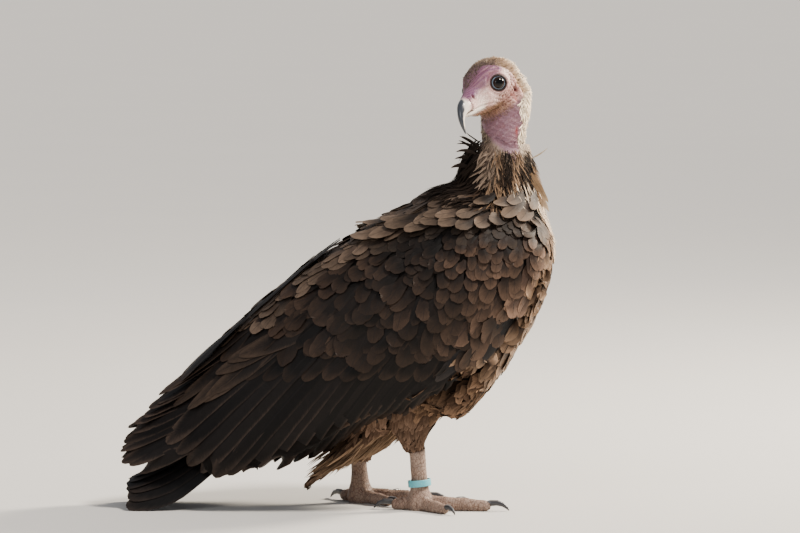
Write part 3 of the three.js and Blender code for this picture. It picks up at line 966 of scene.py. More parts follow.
KINDS = {
    Tract.COVERTS: TractKind(Vane.CONTOUR, (-3.8, -0.2), 0.42, COVERT_LOOK),
    Tract.MANTLE: TractKind(Vane.CONTOUR, (-3.8, 0.2), 0.36, MANTLE_LOOK),
    Tract.BREAST: TractKind(Vane.CONTOUR, (-3.8, -0.1), 0.31, BREAST_LOOK),
    Tract.BELLY: TractKind(Vane.FLUFF, (-3.6, -0.4), 0.29, BELLY_LOOK),
    Tract.THIGH: TractKind(Vane.FLUFF, (-3.0, 0.0), 0.34, THIGH_LOOK),
    Tract.VENT: TractKind(Vane.HACKLE, (-5.0, 0.3), 0.33, VENT_LOOK),
}


@dataclass
class Coat:
    """Lays the feathers that are scattered over the body.

    Attributes:
        guide: The outline that the feathers make.
        random: The source of chance.
        lie: How they lie.
        open_crowding: How far apart the candidates of bare places are kept.
        clear_sight: How far a place must see to be outside.
        clear_between_legs: How far a place between the legs must see.
        least_stretch: The shortest feather, against its tract's own length.
    """

    guide: Surface
    random: Chance
    lie: Lie = field(default_factory=Lie)
    open_crowding: float = 0.42
    clear_sight: float = 90.0
    clear_between_legs: float = 5.0
    least_stretch: float = 0.7

    def is_outside(self, point: Array, normal: Array) -> bool:
        """Whether a place looks out of the body, and not into the room under a wing.

        Args:
            point: The place.
            normal: The way it faces.

        Returns:
            True if nothing is near in front of it.
        """
        between_legs = point[2] < 112 and abs(point[1]) < 42 and point[0] > 10
        start = Vector(point + normal * 1.5)
        reach = self.clear_between_legs if between_legs else self.clear_sight
        return self.guide.tree.ray_cast(start, Vector(normal), reach)[0] is None

    def scattered_feathers(self, candidates: int) -> dict[Tract, Plumage]:
        """Lays feathers all over the body, but for the rows of the folded wing.

        Args:
            candidates: How many places to try.

        Returns:
            The feathers of each tract.
        """
        points, normals = self.guide.scattered(candidates, self.random)
        headings, lengths, widths, tracts = self.lie.at(points)
        crowding = {tract: kind.crowding for tract, kind in KINDS.items()}
        crowd = np.array([crowding.get(tract, self.open_crowding) for tract in tracts])
        wanted = spaced_out(points, crowd * np.sqrt(2 * lengths * widths))
        made = {
            tract: Plumage(kind.vane, self.guide, self.random) for tract, kind in KINDS.items()
        }
        for k in wanted:
            tract, size = tracts[k], (lengths[k], widths[k])
            if tract is not Tract.OPEN and self.is_outside(points[k], normals[k]):
                self.lay_scattered(made[tract], tract, points[k], headings[k], size)
        return made

    def lay_scattered(
        self, plumage: Plumage, tract: Tract, point: Array, heading: Array, size: Pair
    ) -> None:
        """Lays one feather of a tract, a little unlike its neighbours.

        Args:
            plumage: What it belongs to.
            tract: The part of the coat.
            point: Where it springs from.
            heading: The way the coat lies there.
            size: Its length and half width, but for chance.
        """
        chance = self.random
        turned = heading + chance.normal(0, 0.15, 3)
        stretch = 1 + 0.18 * float(chance.normal())
        root, tip = KINDS[tract].heights
        lift = 0.5 * float(chance.normal())
        look = KINDS[tract].look
        under = self.under_fold(point)
        sunk = 2.4 * under
        x, y, z = point
        cloud = 0.35 * math.sin(0.061 * x + 1.1 * math.sin(0.043 * z) + (y > 0))
        patch = 1 + cloud * math.sin(0.071 * z + 0.5)
        front = 1 + 4.0 * float(step_up(x, 100, 215)) * (tract is Tract.COVERTS)
        # Painted shade: tint and rim are darker just below the edge of the shoulder feathers, where
        # these feathers also sink.
        tint = np.array(look.tint) * patch * front * (1 - 0.6 * under)
        rim = np.array(look.rim) * patch * front * (1 - 0.7 * under)
        length, width = size[0] * max(stretch, self.least_stretch), size[1]
        plumage.lay(
            point,
            turned,
            (length, width * (1 + 0.14 * float(chance.normal()))),
            (root - 0.4 * sunk, tip + lift - sunk),
            Look(tint, rim, look.spread),
            bend=0.35 * float(chance.normal()),
            follow=0.9,
            roll=0.07 * float(chance.normal()),
        )

    def under_fold(self, point: Array) -> float:
        """1 in the shade just below the edge of the shoulder feathers, 0 away from it.

        Args:
            point: A place on the body.

        Returns:
            How deep in the shade it is.
        """
        edge = float(np.interp(point[0], *np.array(FOLD_LINE, float).T))
        below = edge - point[2]
        along = float(step_up(point[0], 40, 80) * (1 - step_up(point[0], 196, 212)))
        return along * float(step_up(below, -16, -6) * (1 - step_up(below, 8, 20)))


@dataclass(frozen=True)
class FeatherRow:
    """A row of feathers that lie side by side on the folded wing, seen from the side.

    Attributes:
        name: What they are.
        vane: Their kind.
        count: How many.
        roots: The x and z of points on the line of their roots.
        tips: The x and z of points on the line of their tips.
        width: The half width of the first and the last.
        heights: How high their roots and tips lie.
        look: Their colours.
        bow: How far their middles lie off a straight line.
        tuck: How much lower their upper sides are than their lower ones, per millimetre.
        wobble: How far each end strays from its place.
    """

    name: str
    vane: Vane
    count: int
    roots: tuple[Pair, ...]
    tips: tuple[Pair, ...]
    width: Pair
    heights: Pair
    look: Look
    bow: float = 0.0
    tuck: float = 0.06
    wobble: float = 1.3

    def lay(self, plumage: Plumage, side: int) -> None:
        """Lays the row on one side of the body.

        Args:
            plumage: What the feathers belong to.
            side: 1 on the left, -1 on the right.
        """
        chance = plumage.random
        shares = np.linspace(0, 1, self.count)
        roots, tips = (self.along(line, shares) for line in (self.roots, self.tips))
        for k, share in enumerate(shares):
            wobble = chance.normal(0, self.wobble, (2, 2))
            width = self.width[0] + (self.width[1] - self.width[0]) * share
            lift = 0.1 * self.wobble * float(chance.normal())
            plumage.lay_on_side(
                (roots[k] + wobble[0], tips[k] + wobble[1]),
                self.bow,
                side,
                width * (1 + 0.04 * float(chance.normal())),
                (self.heights[0] + lift, self.heights[1] + lift),
                self.look,
                roll=self.tuck * side,
            )

    def along(self, line: tuple[Pair, ...], shares: Array) -> Array:
        """Places along a smooth line through some points, by share of its length.

        Args:
            line: The points.
            shares: From 0 at its start to 1 at its end.

        Returns:
            The places.
        """
        fine = smooth_rows(np.array(line, float), 8)
        gaps = np.linalg.norm(np.diff(fine, axis=0), axis=1)
        run = np.concatenate([[0], np.cumsum(gaps)]) / gaps.sum()
        return np.stack([np.interp(shares, run, fine[:, k]) for k in range(2)], 1)


# The flight feathers' paler rims: partly their own paler edges, partly painted sheen.
FLIGHT_LOOK = Look((0.0046, 0.0034, 0.0031), (0.035, 0.024, 0.0185), 0.3)
TERTIAL_LOOK = Look((0.0066, 0.0047, 0.004), (0.036, 0.0235, 0.0165), 0.3)
GREATER_LOOK = Look((0.0042, 0.0028, 0.0023), (0.022, 0.0135, 0.0093), 0.32)
MIDDLE_LOOK = Look((0.0058, 0.0036, 0.0028), (0.026, 0.016, 0.011), 0.32)
ALULA_LOOK = Look((0.0075, 0.0068, 0.0075), (0.024, 0.019, 0.0175), 0.12)
FOLD_LOOK = Look((0.026, 0.0175, 0.013), (0.12, 0.082, 0.057), 0.35)

# The x and z of the lower edge of the shoulder feathers.
FOLD_ROOTS = ((69, 304), (109, 311), (146, 316), (184, 325), (200, 331), (208, 326), (212, 314))
FOLD_LINE = ((21, 289), (63, 295), (99, 299), (144, 308), (168, 313), (192, 308), (206, 298))

WING_ROWS = (
    FeatherRow(
        "primary", Vane.FLIGHT, 11, ((-26, 244), (-16, 210), (-22, 182), (-28, 160)),
        (
            (-182, 122), (-194, 106), (-208, 91), (-219, 80), (-225, 68), (-226, 56), (-222, 47),
            (-206, 41),
        ),
        (10, 8.5), (-4.4, -2.2), FLIGHT_LOOK, bow=5, tuck=0.05,
    ),
    FeatherRow(
        "secondary", Vane.FLIGHT, 21,
        ((0, 226), (60, 214), (106, 194), (134, 174), (146, 160), (150, 154)),
        (
            (-176, 72), (-158, 52), (-138, 38), (-104, 39), (-70, 42), (-26, 54), (20, 83),
            (60, 102), (106, 132),
        ),
        (12.2, 10), (-3.9, -1.4), FLIGHT_LOOK, bow=-4, tuck=0.08,
    ),
    FeatherRow(
        "greater_covert", Vane.LONG_COVERT, 15,
        (
            (-70, 184), (-35, 192), (5, 190), (50, 186), (90, 188), (122, 190), (150, 196),
            (170, 206),
        ),
        (
            (-132, 128), (-99, 139), (-56, 138), (-8, 142), (37, 140), (80, 141), (112, 141),
            (142, 160),
        ),
        (11.5, 9), (-3.6, -1.7), GREATER_LOOK, bow=-2,
    ),
    FeatherRow(
        "second_covert", Vane.LONG_COVERT, 16,
        ((-72, 212), (-30, 214), (10, 204), (62, 208), (104, 214), (140, 214), (172, 222)),
        ((-118, 157), (-66, 176), (-20, 164), (24, 170), (70, 172), (118, 170), (150, 180)),
        (10.5, 9), (-3.2, -1.2), GREATER_LOOK, bow=-1.5,
    ),
    FeatherRow(
        "third_covert", Vane.LONG_COVERT, 17,
        ((-46, 220), (0, 232), (50, 226), (92, 232), (128, 236), (160, 232), (182, 232)),
        ((-82, 190), (-26, 206), (28, 198), (76, 200), (118, 204), (150, 204), (176, 206)),
        (10, 8.5), (-2.8, -0.8), MIDDLE_LOOK, bow=-1,
    ),
    FeatherRow(
        "alula", Vane.LONG_COVERT, 4, ((206, 222), (188, 208), (170, 196)),
        ((152, 156), (130, 140), (106, 140)), (7, 7), (-2.4, -0.9), ALULA_LOOK, bow=-2,
    ),
    FeatherRow(
        "long_scapular", Vane.LONG_COVERT, 13, ((4, 284), (-34, 254), (-70, 222), (-102, 194)),
        ((-56, 228), (-92, 196), (-128, 162), (-162, 132)), (8, 8.5), (-2.4, 0.6), TERTIAL_LOOK,
        bow=-2, tuck=0.1,
    ),
    FeatherRow(
        "tertial", Vane.LONG_COVERT, 8, ((-6, 274), (-8, 262), (2, 250), (16, 238), (30, 230)),
        ((-184, 118), (-176, 112), (-158, 106), (-132, 122), (-124, 146), (-100, 166)), (10, 11.5),
        (-2.6, -0.5), TERTIAL_LOOK, bow=5, tuck=0.06,
    ),
)
FOLD_ROWS = (
    FeatherRow(
        "fold_edge", Vane.CONTOUR, 12, FOLD_ROOTS, FOLD_LINE, (9.5, 7), (-3.0, 4.2), FOLD_LOOK,
        bow=2.0, tuck=0.12, wobble=4.0,
    ),
    FeatherRow(
        "fold_middle", Vane.CONTOUR, 11, tuple((x + 3, z + 8) for x, z in FOLD_ROOTS[:-1]),
        tuple((x + 6, z + 9) for x, z in FOLD_LINE[:-1]), (8.5, 6), (-2.0, 4.0), FOLD_LOOK, bow=2.0,
        tuck=0.1, wobble=4.0,
    ),
)


@dataclass
class TailFan:
    """The tail feathers, laid as a low roof that rests its end on the floor.

    Attributes:
        rows: As the frame has them, the x and z of the ridge, the x and z of the low outer edges,
            and the half width.
        count: How many feathers.
        look: Their colours.
        size: The length and half width that their barbs and edges go by.
        rise: How much higher their tips lie than their roots.
    """

    rows: tuple[tuple[float, ...], ...] = (
        (-60, 124, -54, 108, 20), (-97, 103, -90, 76, 30), (-137, 78, -132, 46, 38),
        (-177, 52, -172, 14, 45), (-218, 31, -223, 1, 48),
    )
    count: int = 12
    look: Look = Look((0.0042, 0.0036, 0.0036), (0.018, 0.013, 0.011), 0.16)
    size: Pair = (170.0, 12.5)
    rise: float = 1.2

    def lay(self, plumage: Plumage) -> None:
        """Lays the feathers, the middle ones on top.

        Args:
            plumage: What they belong to.
        """
        stations = np.array(Vane.FLIGHT.value.stations)
        fine = smooth_rows(self.rows, 12)
        places = np.linspace(0, 1, len(fine))
        for k in range(self.count):
            q = (2 * k + 1) / self.count - 1
            reach = 0.98 - 0.02 * abs(q) ** 3 + 0.03 * float(plumage.random.normal())
            at = np.clip(stations * reach, 0, 1)
            row = np.stack([np.interp(at, places, fine[:, c]) for c in range(5)], 1)
            centres = self.roof(row, q)
            across = self.roof(row, q + 0.02) - self.roof(row, q - 0.02)
            along = np.gradient(centres, axis=0)
            normals = unit(np.cross(across, along))
            normals *= np.sign(normals[:, 2:3])
            centres[:, 2] = np.maximum(centres[:, 2], 1.2)
            low = -2.2 - 2.4 * abs(q)
            side = 1 if q > 0 else -1
            heights = (low, low + self.rise)
            plumage.keep(centres, normals, self.size, heights, self.look, 0.05 * side)

    def roof(self, row: Array, q: float) -> Array:
        """Points of the roof at a share of its half width.

        Args:
            row: The values of `rows` at each place along the tail.
            q: The share, from -1 on the right to 1 on the left.

        Returns:
            The points.
        """
        drop = q * q
        x = row[:, 0] + (row[:, 2] - row[:, 0]) * drop
        z = row[:, 1] + (row[:, 3] - row[:, 1]) * drop
        return np.stack([x, q * row[:, 4], z], 1)


# ---------------------------------------------------------------- the head
HEAD_SLICES = (
    (-52.5, 3, -51.5, -7, 9, 0.5, 2, 2), (-47, 12.5, -45.5, -14, 20, 0.5, 2, 2),
    (-37, 20, -36, -20, 26, 0.5, 2.1, 2.1), (-24, 24.2, -24, -23.5, 27.6, 0.5, 2.2, 2.3),
    (-10, 22.6, -10, -26, 25.4, 0.53, 2.3, 2.2), (2, 18.2, 1, -27, 21.6, 0.56, 2.3, 2),
    (12, 12.8, 11, -26, 17.6, 0.55, 2.3, 2), (21, 7.4, 20, -25, 12, 0.55, 2.1, 2),
    (30, 3.6, 29, -23, 9.2, 0.52, 2, 2), (37.5, 0.7, 36.8, -21, 7.8, 0.5, 2, 2),
)
UPPER_BILL_SLICES = (
    (33, 1.9, 33, -15, 6.6, 0.35, 2, 2.4), (41, 0, 41, -15.4, 6.6, 0.35, 2, 2.4),
    (48, -2.8, 46.6, -16, 5.6, 0.35, 2, 2.4), (53.6, -8.8, 50, -18.5, 4.4, 0.4, 2, 2.2),
    (57.4, -17, 53, -22, 3.2, 0.5, 2, 2), (58.8, -25, 55, -27.6, 2, 0.5, 2, 2),
    (57.9, -33.2, 57, -33.8, 0.6, 0.5, 2, 2),
)
LOWER_BILL_SLICES = (
    (14, -15.2, 14, -21.8, 10.2, 0.7, 2.6, 2), (24, -15.4, 24, -21.6, 8.6, 0.7, 2.6, 2),
    (34, -15.6, 34, -21, 6.9, 0.7, 2.6, 2), (42, -16, 42, -20.2, 5.2, 0.7, 2.6, 2),
    (47.6, -17, 47.6, -18.6, 2.4, 0.7, 2.6, 2),
)
NECK_ROWS = (
    (179, 1, 356, 22.5, 23.5), (177, 1.5, 376, 21.3, 22), (176.4, 2, 386, 21, 21.8),
    (177, 5, 405, 21.5, 24.2), (179, 8, 422, 22, 25.4), (180, 11, 439, 20.5, 24.2),
    (178, 14, 454, 15.5, 17.5), (176, 15, 462, 6, 7),
)


class HeadFrame:
    """The head's own directions: forward along the bill, to its left side, and up."""

    origin = np.array([153.0, -14.0, 443.0])

    def __init__(self) -> None:
        """Works the three directions out from the way the bill and the crown point."""
        forward = unit(np.array([-0.51, -0.81, -0.28]))
        side = unit(np.cross([-0.37, -0.09, 0.92], forward))
        self.axes = np.stack([forward, side, np.cross(forward, side)])

    def own(self, points: Array) -> Array:
        """Points of the body, in the head's frame."""
        return (points - self.origin) @ self.axes.T

    def out(self, places: Array) -> Array:
        """Places in the head's frame, as points of the body."""
        return np.asarray(places, float) @ self.axes + self.origin

    def turned(self, directions: Array) -> Array:
        """Directions in the head's frame, as directions of the body."""
        return np.asarray(directions, float) @ self.axes


HEAD = HeadFrame()


def spot(own: Array, centre: Colour, reach: Colour) -> Array:
    """A soft spot on both sides of the head.

    Args:
        own: Points in the head's frame.
        centre: Its middle, on the left side.
        reach: How far it goes forward, sideways and up.

    Returns:
        For each point 1 at its middle, falling to 0.
    """
    folded = np.stack([own[:, 0], np.abs(own[:, 1]), own[:, 2]], 1)
    return np.exp(-(((folded - centre) / reach) ** 2).sum(1))


@dataclass
class EyeSocket:
    """One eye: its ball, and the lids round it.

    Heights are measured along the eye's axis from the middle of the ball, and reach across it.

    Attributes:
        side: 1 on the left, -1 on the right.
        ball: The radius of the eyeball.
        lid: The reach and height of points round the lids' cross-section.
    """

    side: int
    ball: float = 8.2
    lid: tuple[Pair, ...] = (
        (7.5, 1.0), (7.15, 3.3), (6.95, 4.55), (7.25, 5.15), (7.8, 5.5), (8.4, 5.45), (9.0, 5.05),
        (9.5, 4.75), (10.1, 4.85), (10.8, 4.75), (11.6, 4.1), (12.3, 2.9), (12.4, 1.0),
        (10.0, -0.6),
    )

    def __post_init__(self) -> None:
        """Places the eye."""
        side = self.side
        self.centre = np.array([-3.5, side * 18.2, -2.0])
        self.axis = unit(np.array([0.62, side * 0.75, 0.1]))
        up = np.array([-0.12, 0.0, 1.0])
        self.over = unit(up - self.axis * float(up @ self.axis))
        self.front = np.cross(self.over, self.axis) * side

    def measures(self, own: Array) -> tuple[Array, Array, Array]:
        """Height along the axis, reach from it, and angle round it (0 is the front, 90 is up).

        Args:
            own: Points in the head's frame.

        Returns:
            The three measures of each.
        """
        away = own - self.centre
        height = away @ self.axis
        flat = away - height[:, None] * self.axis
        angle = np.degrees(np.arctan2(flat @ self.over, flat @ self.front))
        return height, np.linalg.norm(flat, axis=1), angle

    def narrowing(self, angle: Array) -> Array:
        """How much wider or narrower the opening is at each angle, in radians, than a circle."""
        return 1 + 0.045 * np.cos(2 * (angle + 0.5)) + 0.02 * np.cos(angle - 3.1)

    def pressed(self, own: Array) -> Array:
        """The head's points, drawn in round the eye so that the lids stand clear of them.

        Args:
            own: Points in the head's frame.

        Returns:
            The points, moved along the axis.
        """
        height, reach, _ = self.measures(own)
        near = (height > -4) & (reach < 16)
        inside = np.sqrt(np.maximum(self.ball**2 - np.minimum(reach, 8.1) ** 2, 0)) - 2.6
        bed = np.where(reach < 7.4, np.minimum(inside, 3.0), 3.6)
        share = 1 - step_up(reach, 10.2, 15.5)
        moved = height + (bed - height) * share
        return own + np.where(near, moved - height, 0)[:, None] * self.axis

    def lids(self, name: str) -> Piece:
        """The fleshy ring of the lids, to be joined to the skin.

        Args:
            name: Its name.

        Returns:
            The ring.
        """
        angle = np.linspace(0, 2 * np.pi, 120, endpoint=False)
        rings = []
        for reach, height in self.lid:
            fold = 0.1 * np.sin(15 * angle + reach) * float(step_up(reach, 8.6, 9.6))
            fold += 0.06 * np.sin(37 * angle + 2 * reach) * float(step_up(reach, 7.4, 8.2))
            wide = reach * (self.narrowing(angle) if reach < 9.3 else 1 + 0.02 * np.cos(2 * angle))
            droop = 0.35 * np.maximum(np.sin(angle), 0) * float(bell(reach - 7.6, 1.2))
            flat = np.cos(angle)[:, None] * self.front + np.sin(angle)[:, None] * self.over
            rings.append(
                self.centre + flat * wide[:, None] + (height + fold + droop)[:, None] * self.axis
            )
        points = HEAD.out(np.concatenate(rings))
        faces = loop_faces(len(rings), len(angle))
        return new_object(name, points, facing_out(points, [faces]))


@dataclass
class Eye:
    """The glossy eyeball, dark brown with a pale blue-grey ring at the edge of the iris.

    Attributes:
        pupil: The pupil's radius.
        iris: The iris's radius.
        bulge: How far the cornea stands out.
    """

    pupil: float = 3.9
    iris: float = 6.3
    bulge: float = 0.5

    def build(self, socket: EyeSocket, name: str, node: str) -> Piece:
        """Makes one eyeball.

        Args:
            socket: Where it sits.
            name: The piece's name.
            node: The node of the frame that it stands for.

        Returns:
            The piece.
        """
        turns, rings = 64, 48
        polar = np.linspace(0.02, np.pi - 0.02, rings)
        angle = np.linspace(0, 2 * np.pi, turns, endpoint=False)
        reach = np.sin(polar)[:, None] * socket.ball
        rise = np.cos(polar)[:, None] * socket.ball
        cornea = self.bulge * step_up(self.iris + 0.9 - reach, 0, 3) * (rise > 0)
        flat = np.cos(angle)[:, None] * socket.front + np.sin(angle)[:, None] * socket.over
        grid = socket.centre + flat * reach[..., None] + (rise + cornea)[..., None] * socket.axis
        points, faces = closed_rings(HEAD.out(grid))
        piece = new_object(name, points, faces)
        height, away, angle_at = socket.measures(HEAD.own(points_of(piece)))
        tint = np.tile(np.array([0.1, 0.06, 0.05]), (len(away), 1))
        tint = mixed(tint, (0.3, 0.42, 0.55), bell(away - self.iris - 0.35, 0.4))
        rays = 1 + 0.35 * np.sin(np.radians(angle_at) * 23)
        brown = np.array([0.014, 0.0062, 0.0035]) * rays[:, None]
        tint = mixed(tint, brown, 1 - step_up(away, self.iris - 0.25, self.iris + 0.15))
        in_pupil = 1 - step_up(away, self.pupil - 0.15, self.pupil + 0.15)
        tint = mixed(tint, (0.001, 0.001, 0.0012), in_pupil)
        tint = mixed(tint, (0.17, 0.12, 0.1), (height < 0).astype(float))
        store(piece, "tint", opaque(tint))
        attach(piece, BODY)
        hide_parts(node)
        return piece


# ---------------------------------------------------------------- markings of the skin
@dataclass
class Markings:
    """The colours of the bare skin and of the down on the head and neck.

    Attributes:
        nape_edge: Heights on the head, each with how far forward the down of the nape reaches.
    """

    pale: Colour = (0.86, 0.74, 0.68)
    pink: Colour = (0.64, 0.4, 0.36)
    purple: Colour = (0.165, 0.062, 0.145)
    lilac: Colour = (0.225, 0.128, 0.165)
    # groove: a dark reddish brown, used for the cheek's brown streaks and for painted shade in the
    # hollows of the folds.
    groove: Colour = (0.13, 0.042, 0.03)
    red: Colour = (0.5, 0.07, 0.06)
    dark_red: Colour = (0.09, 0.008, 0.01)
    lid_brown: Colour = (0.022, 0.011, 0.01)
    bristle: Colour = (0.3, 0.18, 0.1)
    slate_down: Colour = (0.12, 0.085, 0.068)
    cream_down: Colour = (0.88, 0.74, 0.56)
    tan_down: Colour = (0.3, 0.19, 0.115)
    nape_edge: tuple[Pair, ...] = (
        (-40, -27), (-20, -27), (-10, -25), (0, -22), (5, -19), (12, -13), (17, -8), (22, -2),
    )

    def crown(self, own: Array) -> Array:
        """How much of each point of the head is under the down of crown and nape.

        Args:
            own: Points in the head's frame.

        Returns:
            The share of each.
        """
        forward, side, up = own.T
        edge = np.interp(up, *np.array(self.nape_edge, float).T)
        back = step_up(edge - forward, -1.6, 1.6)
        middle = 1 - step_up(side + 0.12 * forward, 2, 11)
        middle = middle * (1 - step_up(-side - 0.5 * (24 - forward), 2, 11))
        middle = middle * np.interp(forward, [-16, -6, 6, 20], [1, 0.75, 0.52, 0.35])
        middle = middle * step_up(26 - forward, 0, 4) * step_up(up, 0, 5)
        return np.maximum(back, middle)

    def throat(self, points: Array) -> Array:
        """How much of each point of the neck is bare, and not under down.

        Args:
            points: Points of the neck.

        Returns:
            The share of each.
        """
        x, y, z = points.T
        middle = np.interp(z, [375, 388, 415], [-70, -88, -122])
        half = np.interp(z, [362, 375, 388, 405], [0, 22, 40, 78])
        centre_y = np.interp(z, [376, 405, 440], [1.5, 5, 11])
        azimuth = np.degrees(np.arctan2(y - centre_y, x - 178))
        away = np.abs((azimuth - middle + 180) % 360 - 180)
        return 1 - step_up(away, half - 7, half + 7)

    def on_head(self, own: Array) -> Array:
        """1 on the head, 0 on the neck."""
        return step_up(own[:, 2] + 0.25 * (own[:, 0] + 20), -31, -25)

    def jaw(self, own: Array) -> Array:
        """How much of each point of the head is under the bristles of the jaw.

        Args:
            own: Points in the head's frame.

        Returns:
            The share of each.
        """
        forward, _, up = own.T
        below = step_up(-up + 0.1 * forward, 19.5, 24)
        return below * (1 - step_up(-up - 0.3 * forward, 32, 38)) * step_up(forward, -16, -4)

    def down_share(self, points: Array) -> Array:
        """How much of each point of the head and neck is under down.

        Args:
            points: The points.

        Returns:
            The share of each.
        """
        own = HEAD.own(points)
        head = self.on_head(own)
        return head * self.crown(own) + (1 - head) * (1 - self.throat(points))

    def down_colour(self, points: Array) -> Array:
        """The colour of the down at each point.

        Args:
            points: Points of the head and neck.

        Returns:
            The colours.
        """
        own = HEAD.own(points)
        x, _, z = points.T
        tint = np.tile(np.array(self.cream_down), (len(points), 1))
        head = self.on_head(own)
        wander = 2.5 * np.sin(0.5 * own[:, 1]) + 2 * np.sin(0.8 * own[:, 0] + own[:, 2])
        front = step_up(own[:, 0] - 0.2 * np.abs(own[:, 1]) + wander, -26, -8) * head
        rear = np.interp(own[:, 2], [-30, 0, 12, 22], [-34, -31, -27, -30])
        side_edge = step_up(own[:, 0] - rear, -3, 5)
        tint = mixed(tint, self.tan_down, 0.8 * side_edge * head)
        chance = np.abs(np.sin(points @ np.array([12.9, 78.2, 37.7])) * 43.7) % 1
        # Tan on the sides of the crown, with cream left along its top: partly the down's own
        # colours, partly painted light on the top.
        band = step_up(own[:, 0], -42, -26) * head * step_up(np.abs(own[:, 1]), 6, 15)
        tint = mixed(tint, self.tan_down, 0.8 * band)
        dark = step_up(front - 0.6 * chance, 0.05, 0.4)
        tint = mixed(tint, self.slate_down, 0.9 * dark)
        left = step_up(178 - x, 2, 16) * (1 - self.on_head(own)) * step_up(445 - z, 0, 25)
        tint = mixed(tint, (0.2, 0.15, 0.11), 0.85 * left)
        return mixed(tint, self.tan_down, 0.5 * (1 - self.on_head(own)) * step_up(392 - z, 0, 20))

    def head_and_neck(self, points: Array, sockets: list[EyeSocket], folds: Array) -> Array:
        """The colour of the skin at each point of the head and neck.

        Args:
            points: The points.
            sockets: The eyes.
            folds: How far the fine folds stand out at each point.

        Returns:
            The colours.
        """
        own = HEAD.own(points)
        forward, side, up = own.T
        tint = np.tile(np.array(self.pink), (len(points), 1))
        tint = mixed(tint, self.pale, 0.9 * spot(own, (24, 9, -8), (15, 14, 9)))
        tint = mixed(tint, self.pale, 0.8 * spot(own, (-14, 25, 0), (6, 8, 10)))
        tint = mixed(tint, self.pale, 0.5 * spot(own, (6, 18, -17), (9, 9, 8)))
        purple = step_up(up + 0.3 * forward, 3, 9) * step_up(forward, -20, -10)
        tint = mixed(tint, self.purple, purple * (0.7 + 0.3 * np.sin(forward * 0.7 + side) ** 2))
        tint = mixed(tint, self.purple, 0.85 * spot(own, (29, 7, 0), (8, 5, 5)))
        tint = mixed(tint, self.lilac, 0.8 * spot(own, (13, 13, 4), (9, 8, 6)))
        speckle = step_up(np.sin(2.1 * forward + up) * np.sin(1.9 * side + 1.3 * up), 0.25, 0.8)
        tint = mixed(tint, self.slate_down, 0.55 * speckle * purple * step_up(up, 12, 17))
        brown = step_up(np.sin(0.9 * forward + 1.7 * up + 0.8 * np.sin(up)), 0.1, 0.9)
        tint = mixed(tint, self.groove, 0.6 * brown * spot(own, (-2, 20, -14), (9, 9, 6)))
        # Brown along and under the jaw: partly the bristles' own colour, partly painted shade on
        # the jaw's underside.
        tint = mixed(tint, (0.3, 0.17, 0.11), 0.5 * spot(own, (-3, 22, -22), (9, 9, 5)))
        tint = mixed(tint, self.bristle, 0.7 * self.jaw(own))
        gape = step_up(-up, 12, 15) * (1 - step_up(-up, 19, 22)) * step_up(forward, 14, 22)
        tint = mixed(tint, self.pale, gape)
        tint = mixed(tint, self.red, 0.6 * spot(own, (-17, 20, -27), (1.8, 6, 8)))
        # Dark red ear openings and nostrils, over their dents: partly their own colour, partly
        # painted shade in the openings.
        ear = spot(own, (-21.7, 23.4, -16.3), (2.1, 7, 4.4))
        tint = mixed(tint, self.dark_red, step_up(ear, 0.3, 0.75))
        tint = mixed(tint, self.dark_red, 0.98 * spot(own, (31.3, 7.5, -3.1), (1.3, 4, 2.3)))
        # Painted shade in the crease in front of each eye.
        tint = mixed(tint, (0.1, 0.06, 0.06), 0.85 * spot(own, (9.5, 17, 0.4), (3.4, 4, 0.9)))
        throat = 1 - self.on_head(own)
        x, y, z = points.T
        lilac = mixed(tint, self.lilac, np.ones(len(points)))
        streak = bell(np.sin(0.3 * z - 0.2 * x + np.sin(0.2 * x)), 0.3)
        lilac = mixed(lilac, self.pale, 0.07 * streak)
        tint = mixed(tint, lilac, throat)
        neck_red = bell(x - 190, 1.4) * bell(z - 396, 5) * (y < 0)
        tint = mixed(tint, (0.25, 0.02, 0.02), 0.85 * neck_red)
        # Darker in the hollows of the fine folds, less on the throat: partly the creases' own
        # brown-red, partly painted shade.
        tint = mixed(tint, self.groove, 0.85 * step_up(-folds, 0.1, 0.9) * (1 - 0.6 * throat))
        for socket in sockets:
            height, reach, _ = socket.measures(own)
            near = (height > -1).astype(float)
            tint = mixed(tint, (0.6, 0.4, 0.4), 0.45 * near * (1 - step_up(reach, 9.5, 11.5)))
            tint = mixed(tint, self.lid_brown, near * (1 - step_up(reach, 9.0, 10.0)))
        down = self.down_colour(points) * 0.5
        return mixed(tint, down, 0.85 * self.down_share(points))

    def body(self, points: Array) -> Array:
        """The colour of the skin under the feathers.

        Args:
            points: Points of the body.

        Returns:
            The colours.
        """
        x, _, z = points.T
        tint = np.tile(np.array([0.004, 0.0027, 0.002]), (len(points), 1))
        legs = step_up(118 - z, 0, 30) * step_up(x, 0, 20)
        tint = mixed(tint, (0.06, 0.037, 0.026), legs)
        neck = step_up(z, 336, 350) * step_up(x, 150, 158)
        return mixed(tint, (0.16, 0.115, 0.085), neck)

    def legs(self, points: Array) -> Array:
        """The colour of the scaly legs and toes.

        Args:
            points: Points of the legs.

        Returns:
            The colours.
        """
        x, y, z = points.T
        tint = np.tile(np.array([0.25, 0.18, 0.145]), (len(points), 1))
        wave = np.sin(0.21 * x + 1.3) * np.sin(0.17 * y) + np.sin(0.13 * z + 0.11 * x)
        tint = mixed(tint, (0.17, 0.11, 0.085), 0.5 * step_up(wave, -0.4, 1.4))
        tint = mixed(tint, (0.36, 0.28, 0.235), 0.5 * step_up(z, 30, 70))
        return mixed(tint, (0.2, 0.15, 0.12), 0.5 * (1 - step_up(z, 0.5, 5)))


